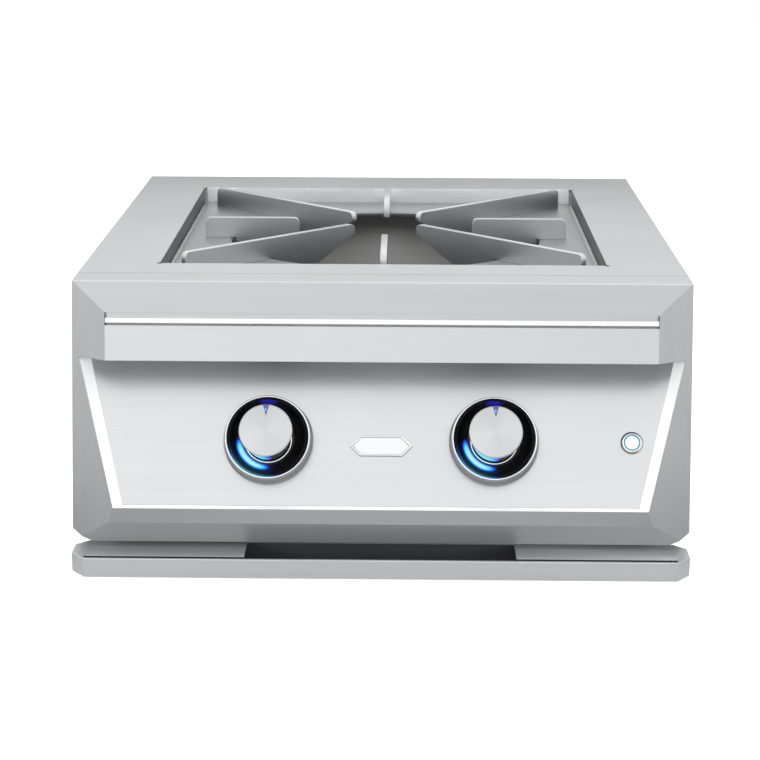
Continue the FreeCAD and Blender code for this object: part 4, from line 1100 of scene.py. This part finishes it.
    def bar(self, roll_mm: float = 0.7, steps: int = 6) -> None:
        """Make the brow's polished bar: a flat face with small rolled edges, its ends drawn in.

        An edge's points lie on a quarter circle: out from the face by the radius times 1 less
        the turn's sine, and in from the edge by the radius times 1 less its cosine. Towards each
        end the whole section is drawn in on the same quarter circle. The flat face has a row of
        points close to each rolled edge, so that its shading stays flat.

        Args:
            roll_mm: The rolled edges' radius.
            steps: Points round each rolled edge.
        """
        low, high = (np.array(corner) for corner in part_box("brow_bar"))
        half, depth, tall = (high[0] - low[0]) / 2, high[1] - low[1], (high[2] - low[2]) / 2
        roll = roll_mm * MM
        turn = np.linspace(0, np.pi / 2, steps)
        out, back = roll * (1 - np.sin(turn)), roll * (1 - np.cos(turn))
        flat = np.stack([np.zeros(2), np.array([-1, 1]) * (tall - roll * 1.15)], -1)
        low_roll = np.stack([out, back - tall], -1)
        high_roll = np.stack([back, tall - out], -1)
        section = np.concatenate([[[depth, -tall]], low_roll, flat, high_roll, [[depth, tall]]])
        x = np.concatenate([back - half, half - back[::-1]])
        drawn = np.concatenate([out, out[::-1]])[:, None]
        grid = np.empty((len(x), len(section), 3))
        grid[..., 0] = x[:, None]
        grid[..., 1] = low[1] + np.minimum(section[:, 0] + drawn, depth)
        grid[..., 2] = (low[2] + high[2]) / 2 + section[:, 1] * (1 - drawn / tall)
        mesh = capped(surface_mesh("brow_bar_rolled", grid, False))
        mirror = PolishedStainless("stainless_polished", "F4F4F5", 0.10).make()
        dress(finish_mesh("brow_bar_rolled", mesh, 50.0), "brow_bar", mirror)


@dataclass
class Knob:
    """A control knob with its bezel, halo and pointer.

    Attributes:
        side: "left" or "right".
        seat: Its place on the panel.
        face_mm: The cap's height above the panel.
        cap_radius_mm: The cap's radius.
        rear_radius_mm: The knob's radius at its rear.
        rear_mm: The height of the knob's rear.
        sides: Points round a turned piece.
    """

    side: str
    seat: Seat
    face_mm: float = 44.4
    cap_radius_mm: float = 25.9
    rear_radius_mm: float = 21.5
    rear_mm: float = 9.0
    sides: int = 160

    def build(self) -> None:
        """Make the bezel, the halo, the knob, its cap and its pointer."""
        place = self.seat.matrix()
        # Painted glow: the halo's light in the bowl low on its left, and faintly at its top.
        left, top = GlowArc(-134.0, 50.0, 28.6, 4.4, 0.95), GlowArc(90.0, 15.0, 38.6, 6.0, 0.22)
        dish = self.lit("dish_gloss_black", "070708", 0.3, left, top)
        self.bezel(place, dish)
        # The halo's lens, a real light, shows only the bowl's painted glow pattern.
        lens = [(26.2, 5.0), (32.0, 5.0), (32.0, 8.3), (29.0, 7.0), (26.2, 6.0)]
        dress(turned(f"{self.side}_halo_ring", lens, place), f"{self.side}_halo_lens", dish)
        self.knob(place)
        self.pointer(place)

    def lit(self, name: str, colour: str, roughness: float, *arcs: GlowArc) -> Material:
        """Make a gloss of this knob's own with patches of the halo's light painted on as glow."""
        name = f"{self.side}_{name}"
        return LitGloss(name, colour, roughness, seat=self.seat, arcs=arcs).make()

    def bezel(self, place: Matrix, dish: Material) -> None:
        """Turn the bezel: a foot, a slim cone, a bright rim, and a black bowl inside.

        Args:
            place: The knob's axis.
            dish: The bowl's lit black.
        """
        chrome = PolishedStainless(f"{self.side}_bezel_chrome", "F2F3F4", 0.12).make()
        # Painted shade: the foot and the cone are a darker copy of the rim's chrome, for the dark
        # surroundings that they mirror.
        cone = PolishedStainless(
            f"{self.side}_bezel_cone_painted_shade", "AEAFB2", 0.3, swirl_mm=2.5, grazing=0.5
        ).make()
        # Radius, height and slot: 0 the chrome rim, 1 the foot and the cone, 2 the bowl.
        profile = [
            (17.0, 0.0, 1), (44.5, 0.0, 1), (44.5, 2.2, 1), (43.7, 2.8, 1), (42.6, 14.6, 1),
            (42.4, 15.2, 1), (41.7, 15.2, 1), (41.7, 16.7, 0), (41.5, 17.2, 0), (41.1, 17.4, 0),
            (40.4, 17.4, 0), (40.1, 17.2, 0), (40.0, 16.7, 1), (38.3, 15.5, 1), (38.1, 15.0, 2),
            (36.6, 12.0, 2), (34.2, 9.7, 2), (31.9, 8.3, 2), (31.9, 5.0, 2), (17.0, 5.0, 1),
        ]
        node = f"{self.side}_knob_bezel"
        piece = turned(f"{self.side}_bezel_turned", profile, place, self.sides, smooth_deg=40.0)
        dress(piece, node, chrome, cone, dish)
        bead = [(22.7, 5.0), (23.9, 5.0), (23.9, 5.2), (23.6, 5.5), (22.9, 5.7), (22.7, 5.7)]
        dress(turned(f"{self.side}_dish_ring", bead, place), node, chrome, stands_for=False)

    def knob(self, place: Matrix) -> None:
        """Turn the knob's black body and its bright cap.

        Args:
            place: The knob's axis.
        """
        # Painted glow: the halo's light reflected on the knob's side, low on its left.
        left = GlowArc(-124.0, 50.0, 24.0, 9.0, 0.74)
        black = self.lit("knob_gloss_black", "09090A", 0.32, left)
        top, cap = self.face_mm, self.cap_radius_mm
        low, rear = self.rear_mm, self.rear_radius_mm
        # From the stem's bore outwards, up the flared side, in to the axis and back to the bore.
        body = [
            (4.0, low), (rear - 1, low), (rear, low + 1), (cap - 0.4, top - 3.2), (cap, top - 1.6),
            (cap, top), (0.0, top), (0.0, 30.0), (4.0, 30.0),
        ]
        piece = turned(f"{self.side}_knob_turned", body, place, self.sides)
        dress(piece, f"{self.side}_knob", black)
        spun = SpunCap(f"{self.side}_cap_spun", "CDCED0", 0.26, seat=self.seat).make()
        face = [
            (0.0, top), (cap, top), (cap + 0.1, top + 0.5), (cap - 0.2, top + 1.1),
            (cap - 0.9, top + 1.5), (cap - 1.8, top + 1.6), (0.0, top + 1.6),
        ]
        name = f"{self.side}_cap_turned"
        piece = turned(name, face, place, self.sides, wrap=False, smooth_deg=50.0)
        dress(piece, f"{self.side}_knob_cap", spun)

    def pointer(self, place: Matrix) -> None:
        """Make the pointer: a wedge of tinted acrylic let into the cap's edge.

        One outline of four corners is laid down at three heights along the knob's axis.

        Args:
            place: The knob's axis.
        """
        high, rim = self.face_mm + 1.62, self.cap_radius_mm
        wedge = np.array([(-3.2, rim - 0.5), (0.0, rim - 0.1), (3.2, rim - 0.5), (0.0, rim - 11.6)])
        heights = (high - 0.6, high, high + 0.1)
        layers = [np.concatenate([wedge, np.full((4, 1), height)], 1) for height in heights]
        spots = (np.stack(layers) * MM) @ np.array(place.to_3x3()).T + np.array(place.translation)
        mesh = capped(surface_mesh(f"{self.side}_pointer", spots, False))
        # Painted glint and haze of the halo's light on the pointer.
        spark, haze = GlowArc(91.0, 4.5, 20.4, 2.4, 0.62), GlowArc(90.0, 14.0, 23.6, 4.0, 0.1)
        tinted = self.lit("pointer_acrylic", "34324A", 0.3, spark, haze)
        piece = finish_mesh(f"{self.side}_pointer", mesh, 30.0)
        dress(piece, f"{self.side}_knob", tinted, stands_for=False)


@dataclass
class LightButton:
    """The lit push button at the panel's right end.

    Attributes:
        seat: Its place on the panel.
        sides: Points round a turned piece.
    """

    seat: Seat
    sides: int = 96

    def build(self) -> None:
        """Make the chrome collar, the blue ring and the white push face."""
        place = self.seat.matrix()
        satin = PolishedStainless("button_collar_turned", "A3A09C", 0.24, swirl_mm=1.5).make()
        chrome = PolishedStainless("button_rim_chrome", "F2F3F4", 0.12).make()
        # Radius, height and slot: 0 the satin collar, 1 its chrome rim.
        collar = [
            (6.26, -18.0, 0), (9.5, -18.0, 0), (9.5, 0.0, 0), (11.3, 0.0, 0), (11.3, 0.8, 0),
            (10.9, 1.5, 0), (9.5, 2.3, 1), (9.2, 2.5, 1), (6.26, 2.5, 0),
        ]
        piece = turned("button_collar", collar, place, self.sides, smooth_deg=40.0)
        dress(piece, "button_housing", satin, chrome)
        blue = LitLens("button_ring_lit_teal", "063A4C", 0.3, glow="0B85AC", strength=0.75).make()
        ring = rounded([(6.8, 2.5), (8.2, 2.5), (8.2, 3.0), (6.8, 3.0)], (0, 0, 0.3, 0.3))
        dress(turned("button_ring", ring, place, self.sides), "button_light_ring", blue)
        white = LitLens("button_face_lit_white", "E9F0F5", 0.2, glow="DDEBF3", strength=0.55).make()
        face = [(0.0, -14.0), (6.2, -14.0), (6.2, 2.4), (5.9, 2.9), (5.2, 3.15), (0.0, 3.2)]
        piece = turned("button_face", face, place, self.sides, wrap=False, smooth_deg=40.0)
        dress(piece, "light_button", white)


@dataclass
class Grate:
    """The lift-off grate of thick plate with its upright fins.

    Attributes:
        centre: The round hole's centre, in metres.
        steel: The fins' colour.
        swage: The radius inside which the plate's rim is pressed round, in metres.
        edge_mm: The easing of the plate's and the fins' edges.
    """

    centre: Point
    steel: str = "D8D9DB"
    swage: float = 0.178
    edge_mm: float = 0.4

    def build(self) -> None:
        """Dress the plate across its width and the fins along their lengths."""
        plate = BrushedStainless("grate_plate_brushed", "A9AAAC", 0.34, tone=0.03).make()
        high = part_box("grate_plate")[1].z - ON_TOP
        middle = Vector(self.centre).xy
        rim = (3.6, lambda spot: spot.z > high and (spot.xy - middle).length < self.swage)
        dress(eased("grate_plate", self.edge_mm, rolls=(rim,)), "grate_plate", plate)
        along = {"grain": Grain.RADIAL, "run_mm": 60.0, "centre": self.centre}
        fins = BrushedStainless("grate_fins_brushed", self.steel, 0.38, tone=0.04, **along).make()
        for node in ("diagonal_fins", "cross_fins"):
            dress(eased(node, self.edge_mm, smooth_deg=60.0), node, fins)


@dataclass
class DripTray:
    """The pull-out tray with its full-width handle.

    Attributes:
        steel: The handle's colour.
        recess_front: The Y behind which a face belongs to the handle's recess.
        handle_mm: The easing of the handle's edges.
        pan_mm: The easing of the pan's edges.
    """

    steel: str = "DCDDDF"
    recess_front: float = -0.36
    handle_mm: float = 0.7
    pan_mm: float = 0.3

    def build(self) -> None:
        """Dress the handle, which has a face, a top, a recess and ends, and the pan."""
        # Painted shade: the top under the sill and the finger recess are darker copies of the
        # handle's steel.
        finishes = (
            BrushedStainless("tray_handle_brushed", self.steel, 0.30),
            BrushedStainless("tray_handle_top_painted_shade", "B2B3B5", 0.42, metallic=0.65),
            BrushedStainless("tray_handle_recess_painted_shade", "4A4B4D", 0.5, metallic=0.8),
            BrushedStainless("tray_handle_ends", "CDCED0", 0.42, metallic=0.93),
        )
        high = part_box("tray_handle")[1].z - ON_TOP
        handle = slotted(
            eased("tray_handle", self.handle_mm),
            lambda normal, spot: normal.z > FACING and spot.z > high,
            lambda normal, spot: (
                spot.z < high and (normal.z > FACING or normal.y < 0 and spot.y > self.recess_front)
            ),
            lambda normal, spot: abs(normal.x) > 0.3 and normal.y < -0.3,
        )
        dress(handle, "tray_handle", *(finish.make() for finish in finishes))
        zinc = GalvanisedSheet("tray_pan_sheet", "A9ACAF", 0.38).make()
        dress(eased("tray_pan", self.pan_mm), "tray_pan", zinc)


@dataclass
class Works:
    """The firebox, burner, gas train and electrics inside the box.

    Attributes:
        liner: The firebox sheet's colour.
        rim_shade: The near-black colour of its upper rim, painted shade in the gap round the grate.
        rim_mm: How far down the rim reaches.
        sheet_mm: The easing of the firebox's edges.
    """

    liner: str = "C8C8C6"
    rim_shade: str = "131314"
    rim_mm: float = 8.0
    sheet_mm: float = 0.25

    def build(self) -> None:
        """Dress each inner piece in what it is made of."""
        self.firebox()
        iron = CastMetal("burner_cast_iron", "3A3A3C", 0.62, metallic=0.6)
        alloy = CastMetal(
            "valve_die_cast", "A7A9AC", 0.42, metallic=1.0, grit_mm=0.7, relief_mm=0.04
        )
        brass = TurnedMetal("brass_turned", "C8A557", 0.30)
        tube = TurnedMetal("steel_drawn_tube", "B3B5B7", 0.33)
        sheet = GalvanisedSheet("bracket_aluminised", "A2A4A6", 0.5, spangle_mm=4.0)
        ceramic = MouldedPlastic("electrode_glazed_ceramic", "EDEAE0", 0.18)
        abs_box = MouldedPlastic("module_moulded_abs", "1B1C1E", 0.5)
        rubber = MouldedPlastic("gland_rubber", "151516", 0.7, relief_mm=0.05)
        # What it is made of, the easing's width in millimetres and facets, and the pieces.
        for finish, edge_mm, segments, nodes in (
            (iron, 0.0, 2, "outer_ring_burner inner_ring_burner"),
            (alloy, 0.3, 2, "left_valve_body right_valve_body"),
            (
                brass, 0.2, 2,
                "left_orifice right_orifice gas_inlet_fitting left_valve_plug right_valve_plug",
            ),
            (
                tube, 0.0, 2,
                "outer_venturi inner_venturi gas_manifold gas_inlet_pipe left_valve_stem "
                "right_valve_stem outer_air_shutter inner_air_shutter",
            ),
            (sheet, 0.2, 2, "burner_bracket"),
            (ceramic, 0.2, 2, "igniter_electrode"),
            (abs_box, 1.2, 3, "ignition_module light_transformer"),
            (rubber, 0.3, 2, "power_gland"),
        ):
            material = finish.make()
            for node in nodes.split():
                dress(eased(node, edge_mm, segments=segments), node, material)

    def firebox(self) -> None:
        """Dress the firebox's sheets, each with a near-black upper rim of painted shade."""
        liner = BrushedStainless("firebox_liner", self.liner, 0.50, metallic=0.25, tone=0.05).make()
        # Painted shade: the rims, seen through the gap round the grate, are near-black.
        name = "firebox_rim_painted_shade"
        dark = BrushedStainless(name, self.rim_shade, 0.7, metallic=0.2, tone=0.05).make()
        for side in ("front_wall", "rear_wall", "left_wall", "right_wall", "floor"):
            node = f"firebox_{side}"
            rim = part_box(node)[1].z - self.rim_mm * MM
            sheet = slotted(eased(node, self.sheet_mm), lambda normal, spot: spot.z > rim)
            dress(sheet, node, liner, dark)


# Studio


@dataclass(frozen=True)
class Card:
    """A plain reflector card that only mirrors see.

    Attributes:
        name: Its name.
        corners: Its four corners in order, in metres.
        level: Its brightness.
    """

    name: str
    corners: tuple[Point, ...]
    level: float

    def stand(self) -> None:
        """Set up the card."""
        mesh = bpy.data.meshes.new(self.name)
        mesh.from_pydata(self.corners, [], [(0, 1, 2, 3)])
        card = bpy.data.objects.new(self.name, mesh)
        bpy.context.scene.collection.objects.link(card)
        material = bpy.data.materials.new(self.name)
        material.use_nodes = True
        tree = material.node_tree
        tree.nodes.clear()
        glow = add(tree, "Emission", {"Color": WHITE, "Strength": self.level})
        add(tree, "OutputMaterial", links={"Surface": glow})
        mesh.materials.append(material)
        card.visible_camera = card.visible_diffuse = card.visible_shadow = False


@dataclass(frozen=True)
class Lamp:
    """A rectangular soft light that no mirror sees.

    Attributes:
        name: Its name.
        place: Where it hangs, in metres.
        aim: The point that it faces.
        wide: Its width, in metres.
        deep: Its depth, in metres.
        power: Its power, in watts.
    """

    name: str
    place: Point
    aim: Point
    wide: float
    deep: float
    power: float

    def hang(self) -> None:
        """Hang the lamp and turn it to what it faces."""
        data = bpy.data.lights.new(self.name, "AREA")
        data.shape = "RECTANGLE"
        data.size, data.size_y, data.energy = self.wide, self.deep, self.power
        lamp = bpy.data.objects.new(self.name, data)
        lamp.location = self.place
        lamp.rotation_mode = "QUATERNION"
        lamp.visible_glossy = False
        lamp.rotation_quaternion = (Vector(self.aim) - Vector(self.place)).to_track_quat("-Z", "Y")
        bpy.context.scene.collection.objects.link(lamp)


@dataclass(frozen=True)
class Sky:
    """The world: white to the camera, and to metal a studio with a dim horizon.

    Attributes:
        rear: The brightness behind the object, by height.
        front: The brightness before it, by height.
        side: The brightness beside it, by height.
        bevel: The height that the brow's bevel mirrors, which stays bright.
        off_bevel: How much of the right's shade there is, by distance from that height.
        right: The shade's depth, from the left to the right.
        behind: How far the front gives way to the rear, by depth.
        beside: How far both give way to the side, by distance from the middle.
        soft: The even light that everything but mirrors gets.
    """

    rear: Step = Step(0.12, 0.32, 0.42, 1.24)
    front: Step = Step(0.5, 0.95, 1.26, 0.97)
    side: Step = Step(0.05, 0.5, 0.90, 1.0)
    bevel: float = 0.69
    off_bevel: Step = Step(0.08, 0.24)
    right: Step = Step(-0.03, 0.15, 0.0, 0.19)
    behind: Step = Step(-0.25, 0.25)
    beside: Step = Step(0.45, 0.85)
    soft: float = 0.62

    def spread(self) -> None:
        """Make the world from the direction of each ray."""
        world = bpy.data.worlds.new("studio_world")
        bpy.context.scene.world = world
        world.use_nodes = True
        tree = world.node_tree
        tree.nodes.clear()
        place = add(tree, "TexCoord")
        parts = add(tree, "SeparateXYZ", links={0: place.outputs["Generated"]})
        x, y, z = (parts.outputs[axis] for axis in "XYZ")
        width = add(tree, "Math", {"operation": "ABSOLUTE"}, {0: x})
        above = add(tree, "Math", {"operation": "SUBTRACT", 1: self.bevel}, {0: z})
        away = add(tree, "Math", {"operation": "ABSOLUTE"}, {0: above})
        rear, front, side, off_bevel, right, behind, beside = (
            add(tree, "MapRange", step.settings(), {"Value": value})
            for step, value in (
                (self.rear, z),
                (self.front, z),
                (self.side, z),
                (self.off_bevel, away),
                (self.right, x),
                (self.behind, y),
                (self.beside, width),
            )
        )
        shade = add(tree, "Math", {"operation": "MULTIPLY"}, {0: off_bevel, 1: right})
        kept = add(tree, "Math", {"operation": "SUBTRACT", 0: 1.0}, {1: shade})
        shaded = add(tree, "Math", {"operation": "MULTIPLY"}, {0: front, 1: kept})
        level = {"data_type": "FLOAT"}
        middle = add(tree, "Mix", level, {FACTOR: behind, LEVEL_A: shaded, LEVEL_B: rear})
        seen = add(tree, "Mix", level, {FACTOR: beside, LEVEL_A: middle, LEVEL_B: side})
        ray = add(tree, "LightPath")
        to_mirrors = {0: ray.outputs["Is Glossy Ray"], 1: ray.outputs["Is Transmission Ray"]}
        mirror = add(tree, "Math", {"operation": "MAXIMUM"}, to_mirrors)
        lit = add(tree, "Mix", {**level, LEVEL_A: self.soft}, {FACTOR: mirror, LEVEL_B: seen})
        to_camera = {FACTOR: ray.outputs["Is Camera Ray"], LEVEL_A: lit}
        last = add(tree, "Mix", {**level, LEVEL_B: 1.0}, to_camera)
        back = add(tree, "Background", {"Color": WHITE}, {"Strength": last})
        add(tree, "OutputWorld", links={"Surface": back})


@dataclass(frozen=True)
class Studio:
    """The floor, the cards, the lamps, the world and the camera.

    Attributes:
        floor_half: Half the floor's width, in metres.
        squeeze: How the distance from the middle is scaled along X, Y and Z.
        near: The floor's brightness to metal close to the object, by distance.
        far: What is added to it further off.
        paper: The floor's own colour to the camera.
        glow: What lifts the floor to white but for the object's shadow.
        lens_mm: The camera's lens.
        sensor_mm: The width of its sensor.
        eye: The camera's place, in metres.
        pitch_deg: How far it looks down.
        yaw_deg: How far it turns to the right.
        roll_deg: How far its right side is raised.
    """

    floor_half: float = 6.0
    squeeze: Point = (1.25, 0.8, 1.0)
    near: Step = Step(0.45, 0.85, 0.36, 0.07)
    far: Step = Step(1.0, 2.4, 0.0, 0.34)
    paper: Colour = (0.86, 0.86, 0.86, 1.0)
    glow: float = 0.56
    lens_mm: float = 97.10
    sensor_mm: float = 36.0
    eye: Point = (0.0239, -2.2562, 0.6999)
    pitch_deg: float = 14.662
    yaw_deg: float = -0.744
    roll_deg: float = 0.214

    def build(self) -> None:
        """Make the floor, the cards, the world, the lamps and the camera."""
        self.floor()
        upright = ((-1.2, 0.95, 0.0), (1.2, 0.95, 0.0), (1.2, 0.95, 0.50), (-1.2, 0.95, 0.50))
        level = ((-0.8, -1.9, 0.002), (0.8, -1.9, 0.002), (0.8, -0.85, 0.002), (-0.8, -0.85, 0.002))
        Card("rear_card", upright, 0.35).stand()
        Card("front_card", level, 1.15).stand()
        Sky().spread()
        Lamp("top_softbox", (0.0, -0.3, 2.4), (0.0, 0.0, 0.2), 2.2, 1.6, 22.0).hang()
        Lamp("front_softbox", (0.0, -2.6, 1.9), (0.0, 0.0, 0.2), 2.4, 1.2, 60.0).hang()
        Lamp("left_kicker", (-1.3, -1.35, 0.32), (0.28, -0.33, 0.14), 0.5, 0.4, 40.0).hang()
        Lamp("right_kicker", (1.3, -1.35, 0.32), (-0.28, -0.33, 0.14), 0.5, 0.4, 40.0).hang()
        self.camera()
        bpy.context.scene.view_settings.view_transform = "Standard"

    def floor(self) -> None:
        """Make the pale floor: white to the camera but for the shadow, a pool of light to metal."""
        half = self.floor_half
        mesh = bpy.data.meshes.new("studio_floor")
        corners = [(-half, -half, 0), (half, -half, 0), (half, half, 0), (-half, half, 0)]
        mesh.from_pydata(corners, [], [(0, 1, 2, 3)])
        floor = bpy.data.objects.new("studio_floor", mesh)
        bpy.context.scene.collection.objects.link(floor)
        material = bpy.data.materials.new("studio_floor_paper")
        material.use_nodes = True
        tree = material.node_tree
        tree.nodes.clear()
        place = add(tree, "TexCoord").outputs["Object"]
        squeezed = add(tree, "Mapping", {"Scale": self.squeeze}, {"Vector": place})
        reach = add(tree, "VectorMath", {"operation": "LENGTH"}, {0: squeezed}).outputs["Value"]
        near, far = (
            add(tree, "MapRange", step.settings(), {"Value": reach})
            for step in (self.near, self.far)
        )
        pool = add(tree, "Math", {"operation": "ADD"}, {0: near, 1: far})
        to_metal = add(tree, "BsdfDiffuse", links={"Color": pool})
        paper = add(tree, "BsdfDiffuse", {"Color": self.paper})
        glow = add(tree, "Emission", {"Color": WHITE, "Strength": self.glow})
        to_camera = add(tree, "AddShader", links={0: paper, 1: glow})
        ray = add(tree, "LightPath").outputs["Is Camera Ray"]
        mix = add(tree, "MixShader", links={0: ray, 1: to_metal, 2: to_camera})
        add(tree, "OutputMaterial", links={"Surface": mix})
        mesh.materials.append(material)

    def camera(self) -> None:
        """Make the camera from its fitted place and angles."""
        angles = (self.pitch_deg, self.yaw_deg, self.roll_deg)
        pitch, yaw, roll = (math.radians(angle) for angle in angles)
        ahead = Vector(
            (math.sin(yaw) * math.cos(pitch), math.cos(yaw) * math.cos(pitch), -math.sin(pitch))
        )
        level = Vector((math.cos(yaw), -math.sin(yaw), 0.0))
        upward = level.cross(ahead)
        right = math.cos(roll) * level + math.sin(roll) * upward
        up = right.cross(ahead)
        data = bpy.data.cameras.new("photo_camera")
        data.lens, data.sensor_width = self.lens_mm, self.sensor_mm
        camera = bpy.data.objects.new("photo_camera", data)
        turn = Matrix((right, up, -ahead)).transposed()
        camera.matrix_world = Matrix.Translation(self.eye) @ turn.to_4x4()
        bpy.context.scene.collection.objects.link(camera)
        bpy.context.scene.camera = camera


def main() -> None:
    """Build every sub-assembly in order, then the studio."""
    logging.basicConfig(level=logging.INFO, format="%(message)s")
    low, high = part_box("grate_plate")
    hole = (0.0, (low.y + high.y) / 2, 0.0)
    knob_x, button_x = 0.1115, 0.2475
    panel_y, panel_z = -0.311038, 0.128225
    Shell().build()
    Knob("left", Seat(-knob_x, panel_y, panel_z)).build()
    Knob("right", Seat(knob_x, panel_y, panel_z)).build()
    LightButton(Seat(button_x, panel_y, panel_z)).build()
    Grate(hole).build()
    DripTray().build()
    Works().build()
    Studio().build()


if __name__ == "__main__":
    main()
